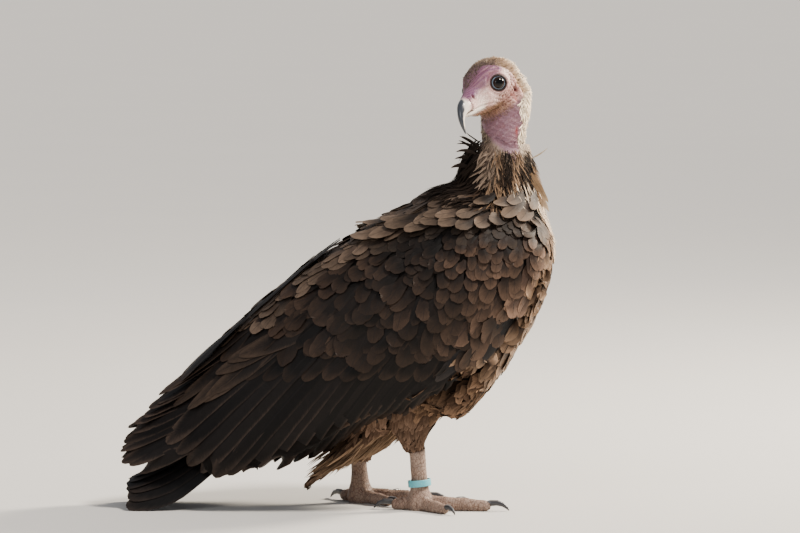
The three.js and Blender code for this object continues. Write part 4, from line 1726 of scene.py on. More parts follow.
@dataclass
class Skin:
    """The one skin of the bird, from the head to the toes.

    Attributes:
        sockets: The eyes that the lids go round.
        marks: Its colours.
        neck_axis: The x and y of the middle of the neck.
        neck_room: Heights, each with the radius that the body's skin keeps to there.
        body_voxel: The size of the body's faces.
        head_voxel: The size of the head's faces.
        leg_voxel: The size of the legs' faces.
        coat_depth: How deep the coat is on the outside of the body.
        least_depth: How deep it is elsewhere.
        feet: The x and y of the right and the left ankle.
    """

    sockets: list[EyeSocket]
    marks: Markings = field(default_factory=Markings)
    neck_axis: Pair = (178.0, 2.0)
    neck_room: tuple[Pair, ...] = (
        (322, 400), (336, 90), (350, 48), (368, 31), (386, 23), (400, 17),
    )
    body_voxel: float = 4.0
    head_voxel: float = 0.95
    leg_voxel: float = 1.2
    coat_depth: float = 4.8
    least_depth: float = 0.2
    feet: tuple[Pair, Pair] = ((89.0, -35.0), (26.0, 33.0))

    def body(self) -> Piece:
        """The trunk, wings, ruff and thighs, drawn in by the depth of the coat.

        Returns:
            The closed form.
        """
        nodes = ("trunk", "wing_left", "wing_right", "ruff", "thigh_left", "thigh_right")
        piece = remeshed("body_skin", node_pieces(*nodes), self.body_voxel)
        points = relaxed(points_of(piece), edges_of(piece), 12)
        move_points(piece, points)
        normals = normals_of(piece)
        x, y, z = points.T
        facing = normals[:, 1] * np.sign(y) + 0.6 * np.maximum(normals[:, 2], 0)
        outer = step_up(facing, -0.5, -0.1)
        between = (1 - step_up(z, 106, 116)) * (1 - step_up(np.abs(y), 38, 44))
        outer = np.maximum(outer, between * step_up(x, 4, 12))
        depth = self.least_depth + self.coat_depth * outer
        drawn = points - normals * depth[:, None]
        away = drawn[:, :2] - self.neck_axis
        room = np.interp(drawn[:, 2], *np.array(self.neck_room).T)
        share = np.minimum(1, room / np.maximum(np.hypot(*away.T), 1e-6))
        drawn[:, :2] = self.neck_axis + away * share[:, None]
        move_points(piece, relaxed(drawn, edges_of(piece), 3))
        return piece

    def head_and_neck(self) -> Piece:
        """The head and the upper neck, with their folds and openings.

        Returns:
            The closed form.
        """
        steps, around = 8, 96
        head = HEAD.out(slice_rings(np.array(HEAD_SLICES, float), steps, around))
        neck = path_rings(np.array(NECK_ROWS, float), [1, 0, 0], steps, around)
        parts = [
            new_object(name, *closed_rings(rings))
            for name, rings in (("head_part", head), ("neck_part", neck))
        ]
        piece = remeshed("head_skin", parts, self.head_voxel)
        remove(*parts)
        edges = edges_of(piece)
        points = relaxed(points_of(piece), edges, 9)
        move_points(piece, points)
        own, normals = HEAD.own(points), normals_of(piece)
        points = points + normals * self.face_relief(own, points)[:, None]
        own = HEAD.own(points)
        for socket in self.sockets:
            own = socket.pressed(own)
        move_points(piece, relaxed(HEAD.out(own), edges, 1))
        return piece

    def face_relief(self, own: Array, points: Array) -> Array:
        """How far each point of the head and neck stands out or sinks in.

        Args:
            own: The points in the head's frame.
            points: The same points in the body's frame.

        Returns:
            The distance out of the smooth form.
        """
        forward, side, up = own.T
        wide = np.abs(side)
        head = self.marks.on_head(own)
        bare = 1 - self.marks.down_share(points)
        push = -(1.3 + 1.2 * step_up(-forward, 22, 34)) * (1 - bare) * head - 0.5 * (1 - head)
        push += 1.0 * spot(own, (0, 19, 12), (15, 7, 3.4))
        push -= 0.9 * spot(own, (16, 14, 2), (6, 5, 4))
        push += 0.9 * spot(own, (30, 7, -1), (6, 4, 3.4))
        push -= 2.0 * spot(own, (31.6, 8, -3.1), (1.0, 5, 2.0))
        push += 0.5 * spot(own, (33.5, 8, -2.8), (1.3, 5, 2.6))
        lip = np.interp(forward, [8, 16, 26, 38], [-19.5, -17, -15.8, -15.6])
        push -= 0.95 * bell(up - lip, 0.8) * step_up(forward, 8, 13)
        push += 0.45 * bell(up - lip - 2.0, 1.4) * step_up(forward, 8, 14)
        push -= 0.8 * bell(up + 20.8 - 0.05 * forward, 1.0) * step_up(forward, 12, 18)
        corner = bell(up - 0.6 + 0.18 * (forward - 10), 0.9)
        push -= 0.8 * corner * bell(forward - 10, 4.2) * (wide > 6)
        push -= 3.0 * spot(own, (-21.7, 24, -16.3), (1.6, 7, 3.6))
        rim = np.hypot((forward + 21.7) / 1.5, (up + 16.3) / 3.2)
        push += 0.9 * bell(rim - 2.3, 0.9) * (wide > 14)
        push += 1.0 * spot(own, (-24.5, 24, -22), (2.2, 9, 10))
        push -= 0.9 * spot(own, (-19.0, 23, -27), (2.2, 9, 8))
        push += 0.8 * spot(own, (-13, 22, -28), (3.0, 9, 7))
        push += self.wrinkles(own, points)
        x, y, _ = points.T
        cords = np.sin(0.62 * np.degrees(np.arctan2(y - 8, x - 178)) * 0.2)
        push += 0.3 * cords * (1 - head)
        push += 0.25 * np.sin(1.1 * forward + 0.7 * side) * np.sin(0.9 * up) * (1 - bare)
        return push

    def wrinkles(self, own: Array, points: Array) -> Array:
        """The fine folds of the bare skin, out of the smooth form.

        Args:
            own: The points in the head's frame.
            points: The same points in the body's frame.

        Returns:
            The height of the folds.
        """
        forward, side, up = own.T
        bare = 1 - self.marks.down_share(points)
        cheek = spot(own, (-5, 20, -18), (14, 12, 9))
        around = np.hypot(forward + 5, up - 0.5)
        push = 0.8 * np.sin(around * 1.8 + 0.9 * np.sin(forward * 0.42)) * cheek
        push += 0.7 * np.sin(forward * 1.4 + up * 0.7 + 1.3 * np.sin(up * 0.6)) * cheek
        rear = spot(own, (-15, 23, -10), (11, 12, 20))
        lumps = np.sin(1.25 * forward + 1.2 * np.sin(0.7 * up))
        lumps = lumps * np.sin(1.15 * up + 1.1 * np.sin(0.6 * forward))
        push += 1.5 * lumps * rear
        brow = spot(own, (2, 14, 14), (18, 10, 6))
        furrow = np.sin(up * 1.5 + forward * 0.35 + 1.2 * np.sin(side * 0.7 + forward * 0.3))
        push += 0.6 * furrow * brow * bare
        lore = spot(own, (20, 10, -7), (13, 8, 8))
        push += 0.42 * np.sin(forward * 0.75 + up * 1.5 + 1.2 * np.sin(forward * 0.5)) * lore
        x, y, z = points.T
        neck = (1 - self.marks.on_head(own)) * bare
        wander = 2.2 * np.sin(0.11 * x + 0.07 * z)
        crease = np.sin(1.3 * z - 0.75 * x + wander + 0.9 * np.sin(0.27 * y))
        push += 0.16 * crease * neck
        return push + 0.16 * np.sin(1.1 * z + 0.5 * x + 1.5 * np.sin(0.16 * z)) * neck

    def legs(self) -> Piece:
        """The tarsi and toes, with scutes across the toes and down the shanks.

        Returns:
            Both legs as one object.
        """
        left, right = (
            remeshed(f"leg_skin_{side}", node_pieces(*self.foot_nodes(side)), self.leg_voxel)
            for side in SIDES
        )
        both = joined_copy("leg_skin", [left, right])
        remove(left, right)
        edges = edges_of(both)
        move_points(both, relaxed(points_of(both), edges, 10))
        points, normals = points_of(both), normals_of(both)
        relief = self.leg_relief(points, normals)
        points = points + normals * relief[:, None]
        points[:, 2] = np.maximum(points[:, 2], 0.0)
        move_points(both, points)
        return both

    def foot_nodes(self, side: str) -> list[str]:
        """The nodes of the shank and the toes of one side."""
        return [f"tarsus_{side}"] + [f"toe_{side}_{number}" for number in TOES]

    def leg_relief(self, points: Array, normals: Array) -> Array:
        """The scutes on the legs: rows across the toes' backs, rings down the shanks' fronts.

        Args:
            points: Points of the legs.
            normals: The way each faces.

        Returns:
            How far each stands out.
        """
        x, y, z = points.T
        right, left = np.array(self.feet)
        foot = np.where(y[:, None] < 0, right, left)
        along = np.hypot(x - foot[:, 0], y - foot[:, 1])
        toe = step_up(along, 9, 14) * (1 - step_up(z, 15, 19))
        top = step_up(normals[:, 2], -0.1, 0.5)
        scute = np.abs(np.sin(along * np.pi / 3.1)) ** 0.6
        shank = step_up(z, 16, 22)
        ring = np.abs(np.sin(z * np.pi / 4.2 + 0.4 * np.sin(0.5 * x))) ** 0.6
        front = step_up(normals[:, 0], -0.2, 0.6)
        pad = (1 - top) * toe * 0.3 * np.sin(along * 1.1)
        return 0.25 + 0.45 * (scute - 0.7) * toe * top + 0.4 * (ring - 0.7) * shank * front + pad

    def build(self) -> Piece:
        """Makes the skin and marks it.

        Returns:
            The piece.
        """
        skin = self.head_and_neck()
        skin.name = "skin"
        self.fine = Surface(skin)
        others = [socket.lids(f"lids_{socket.side}") for socket in self.sockets]
        others += [self.body(), self.legs()]
        for other in others:
            cut = skin.modifiers.new("join", "BOOLEAN")
            cut.operation = "UNION"
            cut.solver = "MANIFOLD"
            cut.object = other
        applied(skin)
        remove(*others)
        skin.data.polygons.foreach_set("use_smooth", np.ones(len(skin.data.polygons), bool))
        points = points_of(skin)
        z, x = points[:, 2], points[:, 0]
        head = step_up(z, 352, 362) * step_up(x, 120, 135)
        leg = 1 - step_up(z, 58, 66)
        shank_x = np.where(points[:, 1] < 0, 89.0, 26.0)
        away = np.hypot(x - shank_x, np.abs(points[:, 1]) - 34)
        leg = leg * (x > 2) * (1 - step_up(away, 13, 16) * step_up(z, 26, 34))
        tint = self.marks.body(points)
        folds = self.wrinkles(HEAD.own(points), points)
        tint = mixed(tint, self.marks.head_and_neck(points, self.sockets, folds), head)
        tint = mixed(tint, self.marks.legs(points), leg)
        store(skin, "tint", opaque(tint))
        store(skin, "bare", head * (1 - self.marks.down_share(points)))
        store(skin, "scaly", leg.astype(float))
        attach(skin, BODY)
        nodes = ["trunk", "neck", "ruff", "head", "wing_left", "wing_right"]
        for side in SIDES:
            nodes += [f"thigh_{side}", *self.foot_nodes(side)]
        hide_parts(*nodes)
        return skin


@dataclass
class Bill:
    """The horn of the bill: a slate hook with bone-white sides, and a pale lower bill.

    Attributes:
        slate: The colour of the hook.
        bone: The colour of the sides.
        steps: Rings made of each step between its slices.
        around: Points of a ring.
    """

    slate: Colour = (0.035, 0.04, 0.05)
    bone: Colour = (0.74, 0.66, 0.58)
    steps: int = 14
    around: int = 64

    def build(self) -> list[Piece]:
        """Makes both halves of the bill.

        Returns:
            The two pieces.
        """
        made = []
        for name, node, slices in (
            ("upper_bill", "bill_upper", UPPER_BILL_SLICES),
            ("lower_bill", "bill_lower", LOWER_BILL_SLICES),
        ):
            rings = slice_rings(np.array(slices, float), self.steps, self.around)
            points, faces = closed_rings(HEAD.out(rings))
            piece = new_object(name, points, faces)
            own = HEAD.own(points_of(piece))
            if node == "bill_upper":
                self.finish_upper(piece, own, len(rings))
            else:
                tint = np.tile(np.array(self.bone) * 0.92, (len(own), 1))
                tint = mixed(tint, (0.5, 0.42, 0.38), step_up(-own[:, 2], 18.5, 21))
                store(piece, "tint", opaque(tint))
            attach(piece, BODY)
            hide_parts(node)
            made.append(piece)
        return made

    def finish_upper(self, piece: Piece, own: Array, rings: int) -> None:
        """Shapes and colours the upper bill.

        Args:
            piece: The upper bill.
            own: Its points, in the head's frame.
            rings: How many rings it is made of.
        """
        angle = np.linspace(0, 2 * np.pi, self.around, endpoint=False)
        height = np.concatenate([np.tile(np.sin(angle), rings), [0, 0]])
        forward, _, up = own.T
        wave = 0.06 * np.sin(forward * 0.9) + 0.05 * np.sin(up * 1.1)
        limit = np.interp(forward, [40.5, 44, 48, 52], [1.05, 0.82, 0.5, 0.3])
        tip = step_up(-up, 25, 31)
        share = np.maximum(step_up(height + wave, limit - 0.14, limit + 0.14), tip)
        tint = mixed(np.tile(np.array(self.bone), (len(own), 1)), self.slate, share)
        base = 1 - step_up(forward + 0.12 * up, 38, 43)
        tint = mixed(tint, (0.55, 0.36, 0.34), 0.85 * base)
        tint = mixed(tint, (0.26, 0.12, 0.19), 0.85 * base * step_up(up, -6, -1))
        store(piece, "tint", opaque(tint))
        groove = -0.22 * bell(height + 0.1, 0.12) * step_up(forward, 38, 42) * (1 - tip)
        move_points(piece, points_of(piece) + normals_of(piece) * groove[:, None])


@dataclass
class Claws:
    """The eight claws, dark horn with a painted highlight along their upper faces.

    Attributes:
        voxel: The size of their faces.
    """

    voxel: float = 0.42

    def build(self) -> list[Piece]:
        """Makes a smooth claw in place of each faceted one.

        Returns:
            The pieces.
        """
        made = []
        for side in SIDES:
            for number in TOES:
                node = f"claw_{side}_{number}"
                piece = remeshed(f"talon_{side}_{number}", node_pieces(node), self.voxel)
                points = relaxed(points_of(piece), edges_of(piece), 10)
                points[:, 2] = np.maximum(points[:, 2], 0.0)
                move_points(piece, points)
                self.dress(piece)
                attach(piece, BODY)
                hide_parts(node)
                made.append(piece)
        return made

    def dress(self, piece: Piece) -> None:
        """Colours one claw.

        Args:
            piece: The claw.
        """
        points, normals = points_of(piece), normals_of(piece)
        tint = np.tile(np.array([0.028, 0.028, 0.032]), (len(points), 1))
        # Painted highlight: the claws' upward-facing sides are lighter.
        streak = step_up(normals[:, 2], 0.2, 0.9) * step_up(points[:, 2], 2, 7)
        tint = mixed(tint, (0.16, 0.15, 0.15), 0.6 * streak)
        root = step_up(points[:, 2], 9.5, 13)
        store(piece, "tint", opaque(mixed(tint, (0.12, 0.1, 0.09), 0.6 * root)))


@dataclass
class LegRing:
    """The turquoise ring round the right leg.

    Attributes:
        inner: The radius of its hole.
        outer: Its own radius.
        half_height: Half its height.
        round_edge: The radius of its rounded edges.
        around: Points round it.
        tilt: How far it leans, in radians.
        turn: How far it is turned round the leg, in radians.
    """

    inner: float = 10.9
    outer: float = 12.1
    half_height: float = 3.5
    round_edge: float = 0.45
    around: int = 96
    tilt: float = math.radians(6)
    turn: float = math.radians(-8)

    def build(self) -> Piece:
        """Makes the ring.

        Returns:
            The piece.
        """
        low, high = box_of("leg_ring")
        centre = (low + high) / 2
        profile = []
        for radius_end, height_end, start in (
            (self.outer, self.half_height, 0),
            (self.inner, self.half_height, 90),
            (self.inner, -self.half_height, 180),
            (self.outer, -self.half_height, 270),
        ):
            inward = 1 if radius_end == self.inner else -1
            middle = radius_end + inward * self.round_edge
            level = height_end - math.copysign(self.round_edge, height_end)
            for turn in np.radians(np.linspace(start, start + 90, 6)):
                out, up = self.round_edge * math.cos(turn), self.round_edge * math.sin(turn)
                profile.append((middle + out, level + up))
        radius, height = np.array(profile).T
        angle = np.linspace(0, 2 * np.pi, self.around, endpoint=False)[:, None]
        level = np.broadcast_to(height, (self.around, len(height)))
        grid = np.stack([np.cos(angle) * radius, np.sin(angle) * radius, level], -1)
        spin = np.array(Matrix.Rotation(self.turn, 3, "Z") @ Matrix.Rotation(-self.tilt, 3, "Y"))
        points = grid.reshape(-1, 3) @ spin.T + centre
        faces = loop_faces(self.around, len(height))
        piece = new_object("foot_ring", points, facing_out(points, [faces]))
        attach(piece, BODY)
        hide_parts("leg_ring")
        return piece


# ---------------------------------------------------------------- down, bristles and hackles
@dataclass
class Down:
    """The short down of the crown and neck, and the bristles under the jaw.

    Attributes:
        skin: The fine skin of the head and neck.
        marks: Where the down is, and its colours.
        random: The source of chance.
        collar_brown: The colour of the collar.
        collar_spacing: The room between its tufts.
        bristle_spacing: The room between bristles.
    """

    skin: Surface
    marks: Markings
    random: Chance
    collar_brown: Colour = (0.17, 0.122, 0.09)
    collar_spacing: float = 1.6
    bristle_spacing: float = 1.15

    def tufts(self, candidates: int) -> tuple[Plumage, Plumage]:
        """Lays the down.

        Args:
            candidates: How many places to try.

        Returns:
            The tufts of the head, and those of the neck.
        """
        chance = self.random
        points, _ = self.skin.scattered(candidates, chance)
        share = self.marks.down_share(points)
        kept = points[share > 0.25 + 0.5 * chance.random(candidates)]
        own = HEAD.own(kept)
        head = self.marks.on_head(own)
        front = step_up(own[:, 0], -30, 0) * head
        chosen = spaced_out(kept, 1.5 - 0.3 * front)
        colours = self.marks.down_colour(kept)
        back = HEAD.turned(np.tile([-1.0, 0.0, -0.1], (len(kept), 1)))
        nape = step_up(-own[:, 0], 32, 46)[:, None]
        down = np.array([0.0, 0.0, -1.0])
        heading = back * (1 - nape) + down * nape
        heading = heading * head[:, None] + down * (1 - head[:, None])
        on_head = Plumage(Vane.TUFT, self.skin, chance)
        on_neck = Plumage(Vane.TUFT, self.skin, chance)
        for k in chosen:
            # Painted light: down on the raised ridges, which also stands higher, is lighter than
            # the down between them.
            ridge = (0.5 + 0.5 * math.sin(1.2 * own[k][2] + 0.5 * own[k][0])) * (1 - front[k])
            colour = colours[k] * max(0.8 + 0.3 * ridge + 0.22 * float(chance.normal()), 0.4)
            length = 6.0 - 3.0 * front[k] + 1.2 * (1 - head[k])
            least, spread = 0.5 + 0.9 * ridge, 1 - 0.5 * front[k]
            (on_head if head[k] > 0.5 else on_neck).lay(
                kept[k],
                heading[k] + chance.normal(0, 0.42, 3),
                (length * max(1 + 0.3 * float(chance.normal()), 0.4), 0.62 - 0.25 * front[k]),
                (-0.35, least + 0.7 * abs(float(chance.normal())) * spread),
                Look(colour, colour, 0.12),
                bend=0.5 * float(chance.normal()),
                follow=0.8,
            )
        return on_head, on_neck

    def collar(self, skin: Surface, candidates: int) -> Plumage:
        """Lays the short down round the foot of the neck, down to the hackles.

        Args:
            skin: The whole skin.
            candidates: How many places to try.

        Returns:
            The tufts.
        """
        chance = self.random
        points, _ = skin.scattered(candidates, chance)
        z = points[:, 2]
        wanted = step_up(z, 336, 342) * (1 - step_up(z, 392, 398))
        wanted = wanted * (1 - self.marks.throat(points) * step_up(z, 372, 380))
        kept = points[wanted > chance.random(candidates)]
        made = Plumage(Vane.TUFT, skin, chance)
        for k in spaced_out(kept, np.full(len(kept), self.collar_spacing)):
            pale = float(step_up(kept[k][0], 186, 200)) * float(step_up(kept[k][2], 360, 375))
            share = np.array([0.6 * pale])
            tint = mixed(np.array([self.collar_brown]), self.marks.cream_down, share)[0]
            colour = tint * max(1 + 0.3 * float(chance.normal()), 0.3)
            made.lay(
                kept[k],
                np.array([-0.1, 0.0, -1.0]) + chance.normal(0, 0.3, 3),
                (6.5 + 1.8 * float(chance.normal()), 0.6),
                (-0.4, 0.9 + 0.7 * abs(float(chance.normal()))),
                Look(colour, colour, 0.15),
                bend=0.6 * float(chance.normal()),
                follow=0.8,
            )
        return made

    def bristles(self, candidates: int) -> Plumage:
        """Lays the short brown bristles under the jaw.

        Args:
            candidates: How many places to try.

        Returns:
            The bristles.
        """
        chance = self.random
        points, _ = self.skin.scattered(candidates, chance)
        own = HEAD.own(points)
        kept = points[(0.9 * self.marks.jaw(own) > chance.random(candidates)) & (own[:, 0] < 33)]
        heading = HEAD.turned(np.array([-0.75, 0.0, -0.65]))
        made = Plumage(Vane.TUFT, self.skin, chance)
        for k in spaced_out(kept, np.full(len(kept), self.bristle_spacing)):
            colour = np.array(self.marks.bristle) * (0.2 + 1.0 * float(chance.random()))
            made.lay(
                kept[k],
                heading + chance.normal(0, 0.25, 3),
                (3.4 + 0.8 * float(chance.normal()), 0.16),
                (-0.1, 0.8 + 0.5 * float(chance.random())),
                Look(colour, colour, 0.15),
                bend=0.3 * float(chance.normal()),
                follow=0.5,
            )
        return made


@dataclass(frozen=True)
class LooseFeather:
    """A feather that stands free of its neighbours.

    Attributes:
        root: Where it springs from.
        tip: Where it ends.
        width: Its half width.
        look: Its colours.
        sag: How far its middle hangs below the straight line.
    """

    root: Colour | Array
    tip: Colour | Array
    width: float
    look: Look
    sag: float = 0.0

    def lay(self, plumage: Plumage) -> None:
        """Takes the feather into a piece.

        Args:
            plumage: What it belongs to.
        """
        t = np.array(plumage.vane.value.stations)
        run = np.array(self.tip) - np.array(self.root)
        centres = np.array(self.root) + run * t[:, None]
        centres[:, 2] -= 4 * self.sag * t * (1 - t)
        facing = unit(np.cross(np.cross(unit(run), [0.25, -1.0, 0.15]), unit(run)))
        normals = np.tile(facing, (len(t), 1))
        length = float(np.linalg.norm(run))
        plumage.keep(centres, normals, (length, self.width), (0.0, 0.0), self.look, 0.0)


SPIKE_LOOK = Look((0.01, 0.007, 0.0056), (0.028, 0.019, 0.014), 0.25)
CREAM_LOOK = Look((0.5, 0.38, 0.26), (0.6, 0.47, 0.33), 0.05)
TAN_LOOK = Look((0.2, 0.125, 0.07), (0.36, 0.25, 0.15), 0.05)
PALE_LOOK = Look((0.3, 0.2, 0.125), (0.5, 0.38, 0.26), 0.05)
LOOSE_FEATHERS = (
    LooseFeather((151, -20, 380), (132, -27, 392), 0.9, SPIKE_LOOK, -1.0),
    LooseFeather((153, -16, 384), (136, -22, 396), 0.8, SPIKE_LOOK, 1.0),
    LooseFeather((149, -14, 378), (127, -18, 383), 1.2, SPIKE_LOOK, -2.5),
    LooseFeather((148, -20, 372), (126, -26, 375), 1.6, SPIKE_LOOK, -3.0),
    LooseFeather((146, -8, 376), (129, -8, 386), 1.3, SPIKE_LOOK, -1.5),
    LooseFeather((144, -14, 366), (125, -18, 367), 1.9, SPIKE_LOOK, -3.0),
    LooseFeather((147, 4, 380), (130, 6, 390), 1.2, SPIKE_LOOK, -1.0),
    LooseFeather((141, -18, 358), (121, -24, 358), 2.2, SPIKE_LOOK, -3.0),
    LooseFeather((206, -16, 368), (223, -16, 379), 0.7, CREAM_LOOK, 1.0),
    LooseFeather((204, -24, 352), (223, -26, 322), 4.4, TAN_LOOK),
    LooseFeather((207, -20, 340), (224, -22, 312), 3.4, PALE_LOOK),
)


@dataclass
class Wisps:
    """The long loose feathers that hang back between the legs and under the tail.

    Attributes:
        look: Their colours.
        count: How many.
    """

    look: Look = Look((0.1, 0.062, 0.038), (0.26, 0.17, 0.105), 0.45)
    count: int = 560

    def lay(self, surface: Surface, random: Chance) -> Plumage:
        """Lays the wisps.

        Args:
            surface: The outline of the feathered body.
            random: The source of chance.

        Returns:
            The wisps.
        """
        made = Plumage(Vane.HACKLE, surface, random)
        for _ in range(self.count):
            along, across = 1.22 * float(random.random()) ** 0.85, 2 * float(random.random()) - 1
            height = 28 + 40 * along**1.5 + 7 * abs(random.normal())
            tip = np.array([-34 + 96 * along, 36 * across, height])
            lean = math.radians(34 + 16 * along + 4 * float(random.normal()))
            length = 56 + 22 * float(random.random())
            root = tip + length * np.array([math.cos(lean), -0.12 * across, math.sin(lean)])
            width = 1.0 + 0.5 * float(random.random())
            sag = 2.5 * float(random.normal())
            LooseFeather(root, tip, width, self.look, sag).lay(made)
        return made


@dataclass
class Ruff:
    """The hackles round the foot of the neck, which change colour from place to place.

    Attributes:
        black: The colours behind, and of the dark bars.
        brown: Those of the paler bars and the lower front.
        grey: Those of the smooth back of the neck.
        tan: Those between the bars.
        white: Those of the front.
        candidates: How many places to try.
        spacing: The room between hackles.
    """

    black: Look = Look((0.0085, 0.0058, 0.0046), (0.018, 0.012, 0.0085), 0.4)
    brown: Look = Look((0.03, 0.0185, 0.0125), (0.055, 0.034, 0.022), 0.4)
    grey: Look = Look((0.15, 0.108, 0.08), (0.19, 0.14, 0.105), 0.25)
    tan: Look = Look((0.17, 0.105, 0.063), (0.26, 0.17, 0.105), 0.35)
    white: Look = Look((0.6, 0.47, 0.35), (0.72, 0.59, 0.45), 0.25)
    candidates: int = 90000
    spacing: float = 2.2

    def look_at(self, x: float, z: float, chance: float) -> Look:
        """The colours of a hackle.

        Args:
            x: How far forward it springs from.
            z: How high.
            chance: A random number from -1 to 1, which frays the borders of the marks.

        Returns:
            Its colours.
        """
        if x + 3 * chance < 153:
            return self.black
        if z + 6 * chance > 344:
            wave = math.cos((x - 178.5 - 0.1 * (z - 360)) * 2 * math.pi / 21)
            dark = 0.5 + 0.5 * wave + 0.22 * chance
            if x + 3 * chance < 169:
                return self.grey
            if dark > 0.38:
                return self.black if dark > 0.6 else self.brown
            return self.tan
        if x + 5 * chance > 180:
            return self.white if z > 310 or x > 208 else self.tan
        return self.tan if z + 10 * chance > 322 and x > 160 else self.brown

    def lay(self, guide: Surface, outside: Coat, random: Chance) -> Plumage:
        """Lays the hackles.

        Args:
            guide: The outline that they make.
            outside: The coat that they belong to.
            random: The source of chance.

        Returns:
            The hackles.
        """
        points, normals = guide.scattered(self.candidates, random)
        x, y, z = points.T
        ring = (z > 318 + 0.3 * np.abs(x - 160)) & (z < 386 - 8 * step_up(x, 150, 158))
        front = (x > 176) & (z > 272) & (z < 345) & (np.abs(y) < 46 - 0.5 * (x - 176))
        points, normals = points[ring | front], normals[ring | front]
        made = Plumage(Vane.HACKLE, guide, random)
        for k in spaced_out(points, np.full(len(points), self.spacing)):
            x, y, z = points[k]
            if not outside.is_outside(points[k], normals[k]):
                continue
            look = self.look_at(x, z, 2 * float(random.random()) - 1)
            back = float(step_up(168 - x, 0, 20))
            heading = np.array([-0.85 * back, 0.12 * float(random.normal()), -1.0 + 0.35 * back])
            smooth = look is self.grey
            length = (9 if smooth else 17) + 8 * back + 3.0 * float(random.normal())
            made.lay(
                points[k],
                heading + random.normal(0, 0.14, 3),
                (max(length, 6.0), 0.75 + 0.45 * back),
                (-2.6, (0.2 if smooth else 0.8) + 0.8 * float(random.normal())),
                look,
                bend=0.35 * float(random.normal()),
                follow=0.8,
                roll=0.12 * float(random.normal()),
            )
        for feather in LOOSE_FEATHERS:
            feather.lay(made)
        return made


# ---------------------------------------------------------------- materials
class Graph:
    """Makes and wires the nodes of one shader tree."""

    def __init__(self, tree: Tree) -> None:
        """Keeps the tree."""
        self.tree = tree

    def node(self, kind: str, inputs: dict | None = None, **settings) -> Node:
        """Adds a node.

        Args:
            kind: The last part of its type's name.
            inputs: Values or sockets for its inputs, by name or number.
            settings: Its other properties.

        Returns:
            The node.
        """
        made = self.tree.nodes.new(kind if kind.startswith("Node") else "ShaderNode" + kind)
        for key, value in settings.items():
            setattr(made, key, value)
        for key, value in (inputs or {}).items():
            self.put(made.inputs[key], value)
        return made

    def put(self, socket: Socket, value: object) -> None:
        """Links a socket to another one, or gives it a value.

        Args:
            socket: The socket.
            value: A socket or a value.
        """
        if isinstance(value, Socket):
            self.tree.links.new(value, socket)
        else:
            socket.default_value = value

    def math(self, operation: str, a: object, b: object = 0.0) -> Socket:
        """The result of one sum on numbers."""
        return self.node("Math", {0: a, 1: b}, operation=operation).outputs[0]

    def plus(self, a: object, b: object) -> Socket:
        """One number added to another."""
        return self.math("ADD", a, b)

    def less(self, a: object, b: object) -> Socket:
        """One number less another."""
        return self.math("SUBTRACT", a, b)

    def times(self, a: object, b: object) -> Socket:
        """One number times another."""
        return self.math("MULTIPLY", a, b)

    def size_of(self, a: object) -> Socket:
        """A number without its sign."""
        return self.math("ABSOLUTE", a)

    def tinted(self, colour: object, by: object) -> Socket:
        """A colour multiplied by another."""
        return self.blend(1.0, colour, by, "MULTIPLY")

    def blend(self, share: object, a: object, b: object, mode: str = "MIX") -> Socket:
        """Two colours mixed.

        Args:
            share: How much of the second.
            a: The first.
            b: The second.
            mode: How they are mixed.

        Returns:
            The mixed colour.
        """
        made = self.node("Mix", data_type="RGBA", blend_type=mode)
        for key, value in ((0, share), (6, a), (7, b)):
            self.put(made.inputs[key], value)
        return made.outputs[2]

    def ramp(self, value: object, low: object, high: float) -> Socket:
        """A smooth rise from 0 to 1 as a value goes from low to high.

        Args:
            value: The value.
            low: Where the rise begins.
            high: Where it ends.

        Returns:
            The rise.
        """
        made = self.node("MapRange", interpolation_type="SMOOTHSTEP", clamp=True)
        for key, number in ((0, value), (1, low), (2, high), (3, 0.0), (4, 1.0)):
            self.put(made.inputs[key], number)
        return made.outputs[0]

    def noise(self, vector: object, scale: object, detail: float) -> Socket:
        """A cloudy value between 0 and 1."""
        made = self.node("TexNoise", {"Vector": vector, "Scale": scale, "Detail": detail})
        return made.outputs[0]

    def edges(self, vector: object, scale: object) -> Socket:
        """How far a place is from the edge of its cell."""
        given = {"Vector": vector, "Scale": scale}
        return self.node("TexVoronoi", given, feature="DISTANCE_TO_EDGE").outputs[0]

    def attribute(self, name: str) -> Node:
        """What a mesh keeps under a name."""
        return self.node("Attribute", attribute_name=name)

    def parts(self, vector: object) -> list[Socket]:
        """The three numbers of a vector."""
        return list(self.node("SeparateXYZ", {0: vector}).outputs)

    def vector(self, x: object, y: object, z: object = 0.0) -> Socket:
        """A vector of three numbers."""
        return self.node("CombineXYZ", {0: x, 1: y, 2: z}).outputs[0]


def new_group(
    name: str, inputs: dict[str, float], outputs: tuple[tuple[str, str], ...]
) -> tuple[Graph, Node, Node]:
    """An empty shader node group.

    Args:
        name: Its name.
        inputs: Its numbers, with their usual values.
        outputs: What it puts out, each with its kind.

    Returns:
        Its graph, its input node and its output node.
    """
    tree = bpy.data.node_groups.new(name, "ShaderNodeTree")
    for key, value in inputs.items():
        socket = tree.interface.new_socket(key, in_out="INPUT", socket_type="NodeSocketFloat")
        socket.default_value = value
    for key, kind in outputs:
        tree.interface.new_socket(key, in_out="OUTPUT", socket_type="NodeSocket" + kind)
    graph = Graph(tree)
    return graph, graph.node("NodeGroupInput"), graph.node("NodeGroupOutput")


